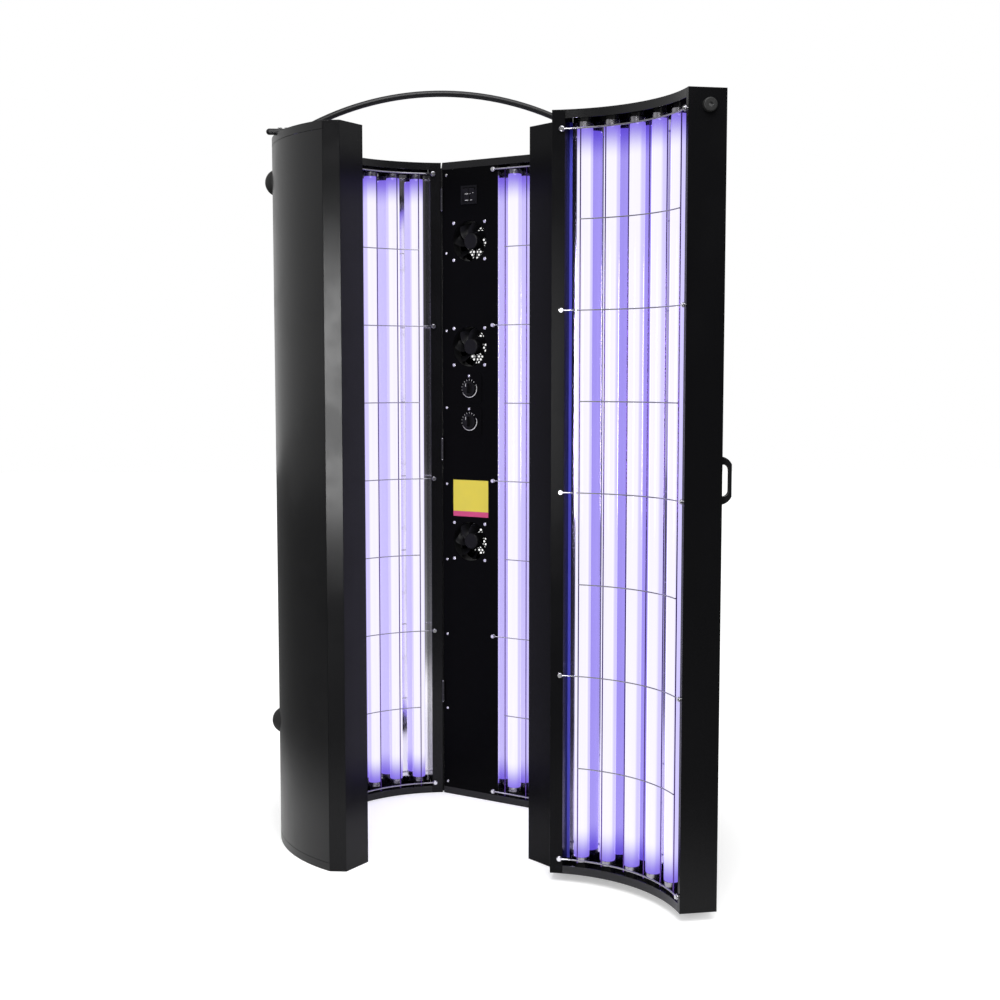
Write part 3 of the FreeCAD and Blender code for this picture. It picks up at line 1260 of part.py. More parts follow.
def add_shells():
    start, end = SHELL_START, SHELL_SPAN
    lips = SHELL_LIP_WIDTHS
    reflector_bend = bend_angle(REFLECTOR_RADIUS - REFLECTOR_SHEET, REFLECTOR_DEPTH - REFLECTOR_SHEET)
    add("left_outer_skin", outer_skin(start, end, 0, CASE_HEIGHT, OUTER_RADIUS), "left")
    add("left_bottom_cap", bottom_cap(start, end, 0, lips, OUTER_RADIUS), "left")
    add("left_front_post", end_post(end, 1, 0, CASE_HEIGHT, lips[1], OUTER_RADIUS), "left")
    add("left_rear_post", end_post(start, -1, 0, CASE_HEIGHT, lips[0], OUTER_RADIUS), "left")
    add("left_reflector", reflector(start + shell_lips[0], end - shell_lips[1], 0, CASE_HEIGHT), "left")
    add("left_guard", arc_guard(start, end, left_uprights, shell_levels, SHELL_STUD_INSETS), "left")
    add("left_lamps", lamp_tubes(left_spots, 0, CASE_HEIGHT), "left")
    add("right_outer_skin", right_skin(), "right")
    add("right_bottom_cap", bottom_cap(start, end, 0, lips, OUTER_RADIUS, True), "right")
    add("right_front_post", end_post(end, 1, 0, CASE_HEIGHT, lips[1], OUTER_RADIUS), "right")
    add("right_rear_post", panel_rear_post(start, 0, CASE_HEIGHT), "right")
    add("right_reflector", [flat_reflector(0, CASE_HEIGHT),
                            reflector(reflector_bend, end - shell_lips[1], 0, CASE_HEIGHT)], "right")
    add("right_guard", flat_guard(shell_levels)
        + arc_guard(SECTOR, end, right_uprights, shell_levels, SHELL_STUD_INSETS, False), "right")
    add("right_lamps", lamp_tubes(right_spots, 0, CASE_HEIGHT), "right")
    left_top = seat(top_cap(start, end, CASE_HEIGHT, lips, OUTER_RADIUS), "left")
    right_top = seat(top_cap(start, end, CASE_HEIGHT, lips, OUTER_RADIUS, True), "right")
    NODES["left_top_cap"] = with_brace_holes(left_top)
    NODES["right_top_cap"] = with_brace_holes(right_top)


def add_shell_groups():
    """Fasteners, sockets and ballasts that both shells share."""
    start, end = SHELL_START, SHELL_SPAN
    both = [("left", left_spots), ("right", right_spots)]
    NODES["shell_lamp_ends"] = group([seat(piece, panel) for panel, spots in both
                                      for piece in lamp_ends(spots, 0, CASE_HEIGHT)])
    NODES["shell_lamp_sockets"] = group([seat(piece, panel) for panel, spots in both
                                         for piece in lamp_sockets(spots, 0, CASE_HEIGHT)])
    near = (start, -1, SHELL_LIP_WIDTHS[0], SHELL_STUD_INSETS[0])
    far = (end, 1, SHELL_LIP_WIDTHS[1], SHELL_STUD_INSETS[1])
    studs = [seat(piece, "left") for piece in post_studs([near, far], shell_levels)]
    studs += [seat(piece, "right") for piece in post_studs([far], shell_levels)]
    for z in shell_levels[::2]:
        foot = flat_point(PANEL_WIDTH - PANEL_STUD_INSET) + UP * z
        studs.append(seat(stud(foot, polar(-1, SECTOR / 2)), "right"))
    NODES["shell_guard_studs"] = group(studs)
    blocks = [seat(piece, "left") for piece in ballasts(LEFT_BALLASTS, 0, OUTER_RADIUS)]
    blocks += [seat(piece, "right") for piece in ballasts(RIGHT_BALLASTS, 0, OUTER_RADIUS)]
    NODES["shell_ballasts"] = group(blocks)


def add_controls():
    add("control_panel", control_panel(), "right")
    add("panel_screws", panel_screws(), "right")
    add("switch_bezel", switch_bezel(), "right")
    for side in rocker_centres():
        add("switch_rocker_" + side, rocker(side), "right")
    add("fan_frames", [fan_frame(z) for z in FAN_Z.values()], "right")
    for name, z in FAN_Z.items():
        add("fan_rotor_" + name, fan_rotor(z), "right")
    add("fan_screws", fan_screws(), "right")
    add("timer_plates", [timer_plate(z) for z in TIMER_Z.values()], "right")
    add("timer_bodies", [timer_body(z) for z in TIMER_Z.values()], "right")
    for name, z in TIMER_Z.items():
        add("timer_knob_" + name, timer_knob(z), "right")
    add("contactor", contactor(), "right")


def add_fittings():
    add("rear_hinge_leaves_left", rear_hinge_leaves((0, 2)), "left")
    add("rear_hinge_leaves_right", rear_hinge_leaves((1,)), "right")
    NODES["rear_hinge_pins"] = group(rear_hinge_pins())
    add("post_hinge_leaves", door_hinge_leaves("post"), "right")
    add("door_hinge_pins", door_hinge_pins(), "right")
    NODES["top_brace"] = top_brace()
    NODES["brace_screws"] = group(brace_screws())
    NODES["wall_bumpers"] = group([seat(wall_bumper(z), panel)
                                   for panel in ("left", "right") for z in WALL_BUMPER_HEIGHTS])
    add("cable_gland", cable_gland(), "right")


def add_door():
    low, high = DOOR_FOOT, DOOR_TOP
    lips, outer = DOOR_LIP_WIDTHS, DOOR_OUTER_RADIUS
    near = (0, -1, lips[0], DOOR_STUD_INSETS[0])
    far = (SECTOR, 1, lips[1], DOOR_STUD_INSETS[1])
    add("door_outer_skin", outer_skin(0, SECTOR, low, high, outer), "door")
    add("door_top_cap", top_cap(0, SECTOR, high, lips, outer), "door")
    add("door_bottom_cap", bottom_cap(0, SECTOR, low, lips, outer), "door")
    add("door_hinge_post", end_post(0, -1, low, high, lips[0], outer), "door")
    add("door_latch_post", latch_post(), "door")
    add("door_reflector", reflector(door_lips[0], SECTOR - door_lips[1], low, high), "door")
    add("door_guard", arc_guard(0, SECTOR, door_uprights, door_levels, DOOR_STUD_INSETS), "door")
    add("door_guard_studs", post_studs([near, far], door_levels), "door")
    add("door_lamps", lamp_tubes(door_spots, low, high), "door")
    add("door_lamp_ends", lamp_ends(door_spots, low, high), "door")
    add("door_lamp_sockets", lamp_sockets(door_spots, low, high), "door")
    add("door_ballasts", ballasts(DOOR_BALLASTS, low, outer), "door")
    add("door_hinge_leaves", door_hinge_leaves("door"), "door")
    add("door_handle", door_handle(), "door")
    add("door_bumper", door_bumper(), "door")
    add("door_screws", [door_bumper_screw()] + handle_screws(), "door")


add_shells()
add_shell_groups()
add_controls()
add_fittings()
add_door()

# ---------------------------------------------------------------- origin and export
# The origin lies on the floor, under the middle of the booth as it stands with its door open.
bounds = group(list(NODES.values())).optimalBoundingBox(False, False)
ORIGIN = Vector((bounds.XMin + bounds.XMax) / 2, (bounds.YMin + bounds.YMax) / 2, 0)

os.makedirs("parts", exist_ok=True)
for name, shape in NODES.items():
    shape.translate(-ORIGIN)
    shape.exportStep("parts/" + name + ".step")


def show_axis(label, point, direction):
    place = RIGHT_PLACE.multVec(point) - ORIGIN
    axis = RIGHT_PLACE.Rotation.multVec(direction)
    print(label, [round(value, 3) for value in place], [round(value, 6) for value in axis])


inward = polar(-1, SECTOR / 2)
flat_along = flat_point(1) - flat_point(0)
size = [bounds.XLength, bounds.YLength, bounds.ZLength]
print("nodes", len(NODES), "size", *[round(value, 2) for value in size])
print("origin", [round(value, 3) for value in ORIGIN])
print("door axis", [round(value, 3) for value in DOOR_AXIS - ORIGIN])
for name, z in FAN_Z.items():
    show_axis("fan " + name, flat_point(CONTROL_CENTRE, SHEET) + UP * z, inward)
for name, z in TIMER_Z.items():
    show_axis("timer " + name, flat_point(CONTROL_CENTRE, 0) + UP * z, inward)
for side in rocker_centres():
    pivot = rocker_pivot(side)
    show_axis("rocker " + side, flat_point(pivot.x, pivot.y) + UP * SWITCH_Z, flat_along)
show_axis("gland", polar(OUTER_RADIUS, GLAND_ANGLE, GLAND_Z), polar(1, GLAND_ANGLE))
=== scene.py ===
import json
import math
import bmesh
import bpy
import numpy as np
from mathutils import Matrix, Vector


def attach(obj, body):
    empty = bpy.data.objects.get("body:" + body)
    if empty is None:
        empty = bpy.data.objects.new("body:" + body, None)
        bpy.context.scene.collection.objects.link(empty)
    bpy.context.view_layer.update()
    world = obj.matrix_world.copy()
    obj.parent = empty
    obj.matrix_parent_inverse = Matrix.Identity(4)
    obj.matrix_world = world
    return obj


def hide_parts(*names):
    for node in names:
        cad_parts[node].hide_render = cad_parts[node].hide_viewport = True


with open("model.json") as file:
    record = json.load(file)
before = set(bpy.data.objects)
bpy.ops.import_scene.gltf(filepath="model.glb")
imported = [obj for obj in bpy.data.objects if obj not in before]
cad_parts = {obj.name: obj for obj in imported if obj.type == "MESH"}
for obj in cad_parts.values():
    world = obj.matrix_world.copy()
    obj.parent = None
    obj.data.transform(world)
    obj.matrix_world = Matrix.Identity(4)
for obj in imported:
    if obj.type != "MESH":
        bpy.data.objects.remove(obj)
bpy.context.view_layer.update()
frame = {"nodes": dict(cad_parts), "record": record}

# ------------------------------------------------------------------ camera
# The booth is seen from the doorway side, from a little above chest height. The camera looks
# slightly down and slightly to the right of straight ahead.
LOOK_DOWN = 0.0854
LOOK_RIGHT = 0.0606
lens = bpy.data.cameras.new("camera")
lens.sensor_width = 36.0
lens.lens = 51.25
camera = bpy.data.objects.new("camera", lens)
camera.location = (-0.16104, -3.68635, 1.2327)
camera.rotation_euler = (math.pi / 2 - LOOK_DOWN, 0.0, -LOOK_RIGHT)
bpy.context.scene.collection.objects.link(camera)
bpy.context.scene.camera = camera
bpy.context.scene.view_settings.view_transform = "Standard"


# ------------------------------------------------------------------ studio
# A pale floor in a bright room that is dim at eye level behind the camera, as in a product studio.
# One small soft light stands at the left, and two large ones hang above and high in front.
WHITE = (1.0, 1.0, 1.0, 1.0)
FLOOR_HALF = 15.0
FLOOR_LEVEL = -0.0004


def wire(tree, kind, sockets=None, **settings):
    """Add one shader node. sockets gives each input a value or the output that feeds it."""
    made = tree.nodes.new("ShaderNode" + kind)
    for setting, value in settings.items():
        setattr(made, setting, value)
    for socket, value in (sockets or {}).items():
        if isinstance(value, bpy.types.NodeSocket):
            tree.links.new(value, made.inputs[socket])
        else:
            made.inputs[socket].default_value = value
    return made


def reckon(tree, operation, *values):
    """One step of arithmetic, such as MULTIPLY or ABSOLUTE, on numbers or outputs."""
    return wire(tree, "Math", dict(enumerate(values)), operation=operation).outputs[0]


def ramp(tree, value, low, high, start, end):
    """Smooth step: start where value is below low, and end where it is above high.

    Between them, with t the share of the way from low to high, it is start plus end less start
    times three t squared less two t cubed.
    """
    step = wire(tree, "MapRange", {"Value": value, "From Min": low, "From Max": high,
                                   "To Min": start, "To Max": end}, interpolation_type="SMOOTHSTEP")
    return step.outputs["Result"]


def object_coords(tree):
    """Each point's own place in metres, as the piece's mesh has it."""
    return wire(tree, "TexCoord").outputs["Object"]


def finish(name, base, roughness=0.5, metallic=0.0, **constants):
    """Principled material with its constant values set on the shader's own sockets."""
    material = bpy.data.materials.new(name)
    material.use_nodes = True
    shader = material.node_tree.nodes["Principled BSDF"]
    shader.inputs["Base Color"].default_value = (*base, 1.0)
    shader.inputs["Roughness"].default_value = roughness
    shader.inputs["Metallic"].default_value = metallic
    for label, value in constants.items():
        shader.inputs[label.replace("_", " ")].default_value = value
    return material, material.node_tree, shader


def soft_light(name, place, target, size, watts):
    """Rectangular panel of light at place, turned to face target; size is its width and height."""
    lamp = bpy.data.lights.new(name, "AREA")
    lamp.shape = "RECTANGLE"
    lamp.size, lamp.size_y = size
    lamp.energy = watts
    light = bpy.data.objects.new(name, lamp)
    light.location = place
    light.rotation_euler = (Vector(target) - Vector(place)).to_track_quat("-Z", "Y").to_euler()
    bpy.context.scene.collection.objects.link(light)


room = bpy.data.worlds.new("studio")
room.use_nodes = True
bpy.context.scene.world = room
tree = room.node_tree
tree.nodes.clear()
direction = wire(tree, "SeparateXYZ", {"Vector": wire(tree, "TexCoord").outputs["Generated"]})
rise = reckon(tree, "ABSOLUTE", direction.outputs["Z"])
camera_side = ramp(tree, rise, 0.22, 0.6, 0.05, 1.0)
far_side = ramp(tree, rise, 0.05, 0.7, 0.64, 0.5)
beyond = ramp(tree, direction.outputs["Y"], -0.95, 0.0, 0.0, 1.0)
strength = wire(tree, "Mix", {0: beyond, 2: camera_side, 3: far_side}).outputs[0]
walls = wire(tree, "Background", {"Color": WHITE, "Strength": strength})
backdrop = wire(tree, "Background", {"Color": WHITE, "Strength": 1.0})
seen = wire(tree, "LightPath").outputs["Is Camera Ray"]
shown = wire(tree, "MixShader", {0: seen, 1: walls.outputs[0], 2: backdrop.outputs[0]})
wire(tree, "OutputWorld", {"Surface": shown.outputs[0]})

soft_light("left_light", place=(-1.303, -3.037, 1.18), target=(-0.36, -0.19, 1.2),
           size=(0.35, 1.15), watts=40.0)
soft_light("overhead_light", place=(0.2, -1.2, 3.9), target=(0.0, 0.0, 0.8),
           size=(2.4, 2.4), watts=50.0)
soft_light("high_front_light", place=(-0.3, -3.4, 4.2), target=(0.0, 0.0, 0.8),
           size=(2.5, 2.5), watts=120.0)

# The floor keeps its shadows near the booth and turns as white as the backdrop further out.
floor_mesh = bpy.data.meshes.new("floor")
floor_mesh.from_pydata([(x * FLOOR_HALF, y * FLOOR_HALF, FLOOR_LEVEL)
                        for x, y in ((-1, -1), (1, -1), (1, 1), (-1, 1))], [], [(0, 1, 2, 3)])
floor = bpy.data.objects.new("floor", floor_mesh)
bpy.context.scene.collection.objects.link(floor)
floor_paint, tree, shader = finish("floor_paint", (0.8, 0.8, 0.8), roughness=0.7,
                                   Specular_IOR_Level=0.1)
# The floor's colour darkens away from the booth. This is painted shade for a dim studio, seen in
# the booth's gloss and in the light the floor throws back.
from_booth = wire(tree, "VectorMath", {0: object_coords(tree)}, operation="LENGTH").outputs["Value"]
floor_painted_shade = ramp(tree, from_booth, 0.7, 1.7, 0.82, 0.15)
painted_shade_grey = wire(tree, "CombineColor", {"Red": floor_painted_shade, "Green": floor_painted_shade, "Blue": floor_painted_shade}).outputs[0]
tree.links.new(painted_shade_grey, shader.inputs["Base Color"])
seen = wire(tree, "LightPath").outputs["Is Camera Ray"]
brightness = reckon(tree, "MULTIPLY", seen, ramp(tree, from_booth, 0.55, 1.4, 0.35, 1.1))
glow = wire(tree, "Emission", {"Color": WHITE, "Strength": brightness})
both = wire(tree, "AddShader", {0: shader.outputs[0], 1: glow.outputs[0]})
tree.links.new(both.outputs[0], tree.nodes["Material Output"].inputs["Surface"])
floor_mesh.materials.append(floor_paint)


# ------------------------------------------------------------------ caps
# Top and bottom of each shell and of the door: trays of 1.5 mm sheet steel with turned rims,
# screwed to the posts and powder coated gloss black with a light orange peel. The coat slightly
# rounds their edges.
COATED_EDGE = 0.0005
record = frame["record"]
body_of = {member: body for body, members in record["behaviour"]["bodies"].items()
           for member in members}


def new_group(name, inputs):
    """Node group that puts out a colour, a roughness and a height.

    inputs gives each input socket's kind and default value.
    """
    group = bpy.data.node_groups.new(name, "ShaderNodeTree")
    for label, (kind, value) in inputs.items():
        socket = group.interface.new_socket(label, in_out="INPUT", socket_type="NodeSocket" + kind)
        socket.default_value = value
    for label, kind in (("Colour", "Color"), ("Roughness", "Float"), ("Height", "Float")):
        group.interface.new_socket(label, in_out="OUTPUT", socket_type="NodeSocket" + kind)
    return group, group.nodes.new("NodeGroupInput").outputs, group.nodes.new("NodeGroupOutput")


def give(group, result, colour, roughness, height):
    """Feed a group's three outputs."""
    for label, value in (("Colour", colour), ("Roughness", roughness), ("Height", height)):
        group.links.new(value, result.inputs[label])


def noise(tree, vector, scale, detail=2.0, roughness=0.5):
    """Cloudy pattern from 0 to 1, with scale clouds to a metre."""
    return wire(tree, "TexNoise", {"Vector": vector, "Scale": scale, "Detail": detail,
                                   "Roughness": roughness}).outputs["Fac"]


def mixed(tree, factor, first, second):
    """Colour between first and second."""
    return wire(tree, "Mix", {0: factor, 6: first, 7: second}, data_type="RGBA").outputs[2]


def dressed(name, group, relief, metallic=0.0, **values):
    """Material whose colour, roughness and bump, relief metres high, come from a shared effect.

    Each value is set on the effect's socket of that name, or where it has none, on the shader's.
    """
    material, tree, shader = finish(name, values["Colour"][:3], metallic=metallic)
    placed = tree.nodes.new("ShaderNodeGroup")
    placed.node_tree = group
    for label, value in values.items():
        label = label.replace("_", " ")
        owner = placed if label in placed.inputs else shader
        owner.inputs[label].default_value = value
    tree.links.new(placed.outputs["Colour"], shader.inputs["Base Color"])
    tree.links.new(placed.outputs["Roughness"], shader.inputs["Roughness"])
    bump = wire(tree, "Bump", {"Strength": 1.0, "Distance": relief,
                               "Height": placed.outputs["Height"]})
    tree.links.new(bump.outputs["Normal"], shader.inputs["Normal"])
    return material


# Powder coat: waves of a few millimetres, finger smears that dull it, dust that settles low down.
coat, given, result = new_group(
    "powder_coat",
    {"Colour": ("Color", (0.01, 0.01, 0.01, 1.0)), "Dust Colour": ("Color", (0.2, 0.2, 0.2, 1.0)),
     "Peel Scale": ("Float", 300.0), "Gloss": ("Float", 0.25), "Smears": ("Float", 0.1),
     "Dust": ("Float", 0.02)})
place = object_coords(coat)
peel = noise(coat, place, given["Peel Scale"], 1.5, 0.4)
smear = ramp(coat, noise(coat, place, 5.0, 4.0, 0.6), 0.42, 0.68, 0.0, 1.0)
grains = ramp(coat, noise(coat, place, 900.0, 1.0), 0.56, 0.7, 0.0, 1.0)
height = wire(coat, "SeparateXYZ", {"Vector": place}).outputs["Z"]
low_down = ramp(coat, height, 0.0, 0.5, 1.0, 0.25)
dust = reckon(coat, "MULTIPLY", reckon(coat, "MULTIPLY", grains, low_down), given["Dust"])
give(coat, result, mixed(coat, dust, given["Colour"], given["Dust Colour"]),
     reckon(coat, "MULTIPLY_ADD", smear, given["Smears"], given["Gloss"]), peel)


def merged(name, crease):
    """A node's own mesh with its loose triangles joined; edges over crease degrees stay hard."""
    shell = bmesh.new()
    shell.from_mesh(frame["nodes"][name].data)
    bmesh.ops.remove_doubles(shell, verts=shell.verts, dist=2e-6)
    for face in shell.faces:
        face.smooth = True
    for edge in shell.edges:
        edge.smooth = edge.is_manifold and edge.calc_face_angle(math.pi) < math.radians(crease)
    mesh = bpy.data.meshes.new(name + "_finished")
    shell.to_mesh(mesh)
    shell.free()
    made = bpy.data.objects.new(name + "_finished", mesh)
    bpy.context.scene.collection.objects.link(made)
    return made


def stand_for(made, name):
    """The piece takes the place and body of this node."""
    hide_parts(name)
    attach(made, body_of[name])


def rounded(made, width, crease):
    """Round the edges over crease degrees to this width, with flat faces kept flat."""
    bevel = made.modifiers.new("edges", "BEVEL")
    bevel.width = width
    bevel.segments = 2
    bevel.limit_method = "ANGLE"
    bevel.angle_limit = math.radians(crease)
    bevel.harden_normals = True


def finished_copy(name, material, crease=30.0, edge=0.0):
    """A node's own shape in this material, with its edges rounded where edge gives a width."""
    made = merged(name, crease)
    made.data.materials.append(material)
    if edge:
        rounded(made, edge, crease)
    stand_for(made, name)
    return made


shell_paint = dressed("shell_paint", coat, relief=0.000012, Colour=(0.0045, 0.0045, 0.005, 1.0),
                      Dust_Colour=(0.1, 0.1, 0.1, 1.0), Peel_Scale=260.0, Gloss=0.2, Smears=0.07,
                      Dust=0.04, Specular_IOR_Level=0.4)
for name in ("left_bottom_cap", "left_top_cap", "right_bottom_cap", "right_top_cap",
             "door_top_cap", "door_bottom_cap"):
    finished_copy(name, shell_paint, edge=COATED_EDGE)

# ------------------------------------------------------------------ front and door posts
# Uprights folded from 1.5 mm sheet steel, which close the ends of each panel. They carry the
# casing's colour in a duller coat. The right front post and the door's hinge post shine least,
# which paints shade on them.
for name, shine_with_painted_shade, edge in (("left_front_post", 0.18, COATED_EDGE), ("door_latch_post", 0.18, 0.0),
                          ("right_front_post", 0.08, COATED_EDGE),
                          ("door_hinge_post", 0.06, COATED_EDGE)):
    post_paint = dressed(name + "_paint", coat, relief=0.000012,
                         Colour=(0.0035, 0.0035, 0.004, 1.0), Dust_Colour=(0.1, 0.1, 0.1, 1.0),
                         Peel_Scale=260.0, Gloss=0.2, Smears=0.07, Dust=0.04,
                         Specular_IOR_Level=shine_with_painted_shade)
    finished_copy(name, post_paint, edge=edge)

# ------------------------------------------------------------------ rear posts
# The two uprights that meet at the rear seam, folded from the same sheet. Their powder coat is
# coarse and wrinkled, and glitters where light falls on it.
wrinkle_paint = dressed("wrinkle_paint", coat, relief=0.00016, Colour=(0.0045, 0.0045, 0.005, 1.0),
                        Dust_Colour=(0.1, 0.1, 0.1, 1.0), Peel_Scale=240.0, Gloss=0.16,
                        Smears=0.07, Dust=0.04, Specular_IOR_Level=0.2)
for name in ("left_rear_post", "right_rear_post"):
    finished_copy(name, wrinkle_paint, edge=COATED_EDGE)


# ------------------------------------------------------------------ outer skins
# The curved backs of the shells and of the door: 1.2 mm sheet steel rolled to a cylinder, held
# between the caps and the posts, in the same gloss coat as the caps. Each panel is drawn in a
# plan of its own, in millimetres and degrees from its rear seam, and then set in its place.
SPLAY = 0.8
DOOR_START = 144.684
DOOR_OPEN = 132.7
DOOR_HINGE_RADIUS = 429.5
DOOR_HINGE_ANGLE = math.radians(144.342)
REAR_AXIS = np.array([0.0, 330.4])
BOOTH_ORIGIN = np.array([76.937, -145.249, 0.0])
ON_CYLINDER = 0.995


def turned(points, degrees, centre):
    """Turn about an upright axis through centre.

    With an offset x, y from it and the angle a, the new offset is x cos a - y sin a and
    x sin a + y cos a.
    """
    angle = math.radians(degrees)
    spin = np.array([[math.cos(angle), -math.sin(angle)], [math.sin(angle), math.cos(angle)]])
    moved = np.array(points, float)
    moved[:, :2] = (moved[:, :2] - centre) @ spin.T + centre
    return moved


DOOR_AXIS = turned([[DOOR_HINGE_RADIUS * math.sin(DOOR_HINGE_ANGLE),
                     DOOR_HINGE_RADIUS * math.cos(DOOR_HINGE_ANGLE), 0.0]], SPLAY, REAR_AXIS)[0, :2]


def in_booth(points, panel):
    """Take points from a panel's own plan, in millimetres, to where it stands, in metres.

    The left plan is mirrored. The door's is turned on to where the right shell ends. Each is then
    splayed about the rear hinges' axis, and the door is swung open about its own. The rear seam's
    plan isn't turned. At last the booth's origin is taken off and the rest divided by a thousand.
    """
    points = np.array(points, float)
    if panel == "left":
        points = turned(points * (-1.0, 1.0, 1.0), -SPLAY, REAR_AXIS)
    elif panel == "right":
        points = turned(points, SPLAY, REAR_AXIS)
    elif panel == "door":
        closed = turned(turned(points, -DOOR_START, np.zeros(2)), SPLAY, REAR_AXIS)
        points = turned(closed, DOOR_OPEN, DOOR_AXIS)
    return (points - BOOTH_ORIGIN) / 1000.0


def plan(radius, degrees, height=0.0):
    """Points in a panel's plan: x is radius times sine, y is radius times cosine."""
    angle = np.radians(degrees)
    x, y = radius * np.sin(angle), radius * np.cos(angle)
    return np.stack(np.broadcast_arrays(x, y, height), axis=-1)


def rolled(made, panel):
    """Give a rolled sheet the true normals of its cylinder wherever its faces lie on one.

    That normal is the corner's offset from the upright axis, divided by its own length and
    pointed the way the face does. It is used where the two agree to within six degrees.
    """
    mesh = made.data
    centre = in_booth([[0.0, 0.0, 0.0]], panel)[0, :2]
    count = len(mesh.loops)
    corner = np.empty(count, int)
    mesh.loops.foreach_get("vertex_index", corner)
    place = np.empty(len(mesh.vertices) * 3)
    mesh.vertices.foreach_get("co", place)
    face = np.empty(len(mesh.polygons) * 3)
    mesh.polygons.foreach_get("normal", face)
    size = np.empty(len(mesh.polygons), int)
    mesh.polygons.foreach_get("loop_total", size)
    normals = np.repeat(face.reshape(-1, 3), size, axis=0)
    out = np.zeros((count, 3))
    out[:, :2] = place.reshape(-1, 3)[corner, :2] - centre
    out /= np.linalg.norm(out, axis=1, keepdims=True)
    along = np.sum(out * normals, axis=1)
    curved = np.abs(along) > ON_CYLINDER
    normals[curved] = (out * np.sign(along)[:, None])[curved]
    mesh.normals_split_custom_set(normals)


for panel in ("left", "right", "door"):
    rolled(finished_copy(panel + "_outer_skin", shell_paint), panel)

# ------------------------------------------------------------------ reflectors
# Thin bright-rolled aluminium sheet, curved behind the lamps and folded in at the posts. Its colour
# is tinted violet, a painted reflection of the lamps' light, the door's sheet most of all.
SHELL_PAINTED_VIOLET = ((0.95, 0.93, 0.98, 1.0), (0.88, 0.86, 0.97, 1.0))
DOOR_PAINTED_VIOLET = ((0.62, 0.56, 0.9, 1.0), (0.54, 0.48, 0.86, 1.0))
for panel, (pale, deep) in (("left", SHELL_PAINTED_VIOLET), ("right", SHELL_PAINTED_VIOLET), ("door", DOOR_PAINTED_VIOLET)):
    name = panel + "_reflector"
    reflector_sheet, tree, shader = finish(name + "_sheet", pale[:3], metallic=1.0)
    place = object_coords(tree)
    upright = wire(tree, "Mapping", {"Vector": place, "Scale": (400.0, 400.0, 6.0)}).outputs[0]
    streaks = ramp(tree, noise(tree, upright, 1.0, 3.0), 0.3, 0.7, 0.05, 0.11)
    tree.links.new(streaks, shader.inputs["Roughness"])
    # The violet in both colours is a painted reflection of the lamps' light. The noise only varies
    # its tone.
    painted_violet = mixed(tree, noise(tree, place, 3.0), deep, pale)
    tree.links.new(painted_violet, shader.inputs["Base Color"])
    rolled(finished_copy(name, reflector_sheet), panel)

# ------------------------------------------------------------------ lamps
# Fluorescent tubes of 38 mm with an inner reflector coat: the side that faces the person glows
# nearly white and the coated back violet. The light fades over the last centimetres at each end.
# Twelve stand in the left shell, nine in the right one and six in the door.
LAMP_RADIUS = 19.0
LAMP_SHOULDER = 17.4
LAMP_LENGTH = 1760.0
LAMP_CIRCLE = 368.0
SHELL_LAMP_FOOT = 45.0
DOOR_LAMP_FOOT = 61.0
SHELL_MIDDLE = 72.0
FLAT_LEAN = 36.0
FLAT_START = 335.0
FLAT_LAMP_DEPTH = 33.0
FLAT_LAMPS = (227.0, 297.0, 367.0)

lit_glass, tree, shader = finish("lit_glass", (0.05, 0.05, 0.07), roughness=0.1,
                                 Emission_Strength=1.0)
place = wire(tree, "SeparateXYZ", {"Vector": wire(tree, "UVMap", uv_map="round_and_up").outputs[0]})
around, upward = place.outputs["X"], place.outputs["Y"]
from_front = reckon(tree, "ABSOLUTE", reckon(tree, "SUBTRACT", around, 0.5))
from_end = reckon(tree, "MINIMUM", upward, reckon(tree, "SUBTRACT", 1.0, upward))
back = ramp(tree, from_front, 0.14, 0.2, 0.0, 1.0)
fade = ramp(tree, from_end, 0.0, 0.045, 1.0, 0.0)
middle_glow = mixed(tree, back, (0.9, 0.87, 0.97, 1.0), (0.62, 0.57, 0.95, 1.0))
tree.links.new(mixed(tree, fade, middle_glow, (0.22, 0.15, 0.75, 1.0)),
               shader.inputs["Emission Color"])


def built(name, points, faces, material, crease=50.0, uv=None):
    """Object from points in metres and faces that list them.

    Points at one place are joined, faces turned outwards and edges over crease degrees kept hard.
    """
    mesh = bpy.data.meshes.new(name)
    mesh.from_pydata(points.tolist(), [], faces)
    if uv is not None:
        mesh.uv_layers.new(name="round_and_up").data.foreach_set("uv", uv.ravel())
    shell = bmesh.new()
    shell.from_mesh(mesh)
    bmesh.ops.remove_doubles(shell, verts=shell.verts, dist=1e-6)
    bmesh.ops.recalc_face_normals(shell, faces=shell.faces)
    for face in shell.faces:
        face.smooth = True
    for edge in shell.edges:
        edge.smooth = edge.calc_face_angle(0.0) < math.radians(crease)
    shell.to_mesh(mesh)
    shell.free()
    mesh.materials.append(material)
    made = bpy.data.objects.new(name, mesh)
    bpy.context.scene.collection.objects.link(made)
    return made


def closed_grid(count_u, count_v, start=0):
    """Quads of a grid that closes round in u; point u, v has the number start + u count_v + v."""
    u, v = np.meshgrid(np.arange(count_u), np.arange(count_v - 1), indexing="ij")
    here, beside = u * count_v + v, (u + 1) % count_u * count_v + v
    return np.stack([here, beside, beside + 1, here + 1], axis=-1).reshape(-1, 4) + start


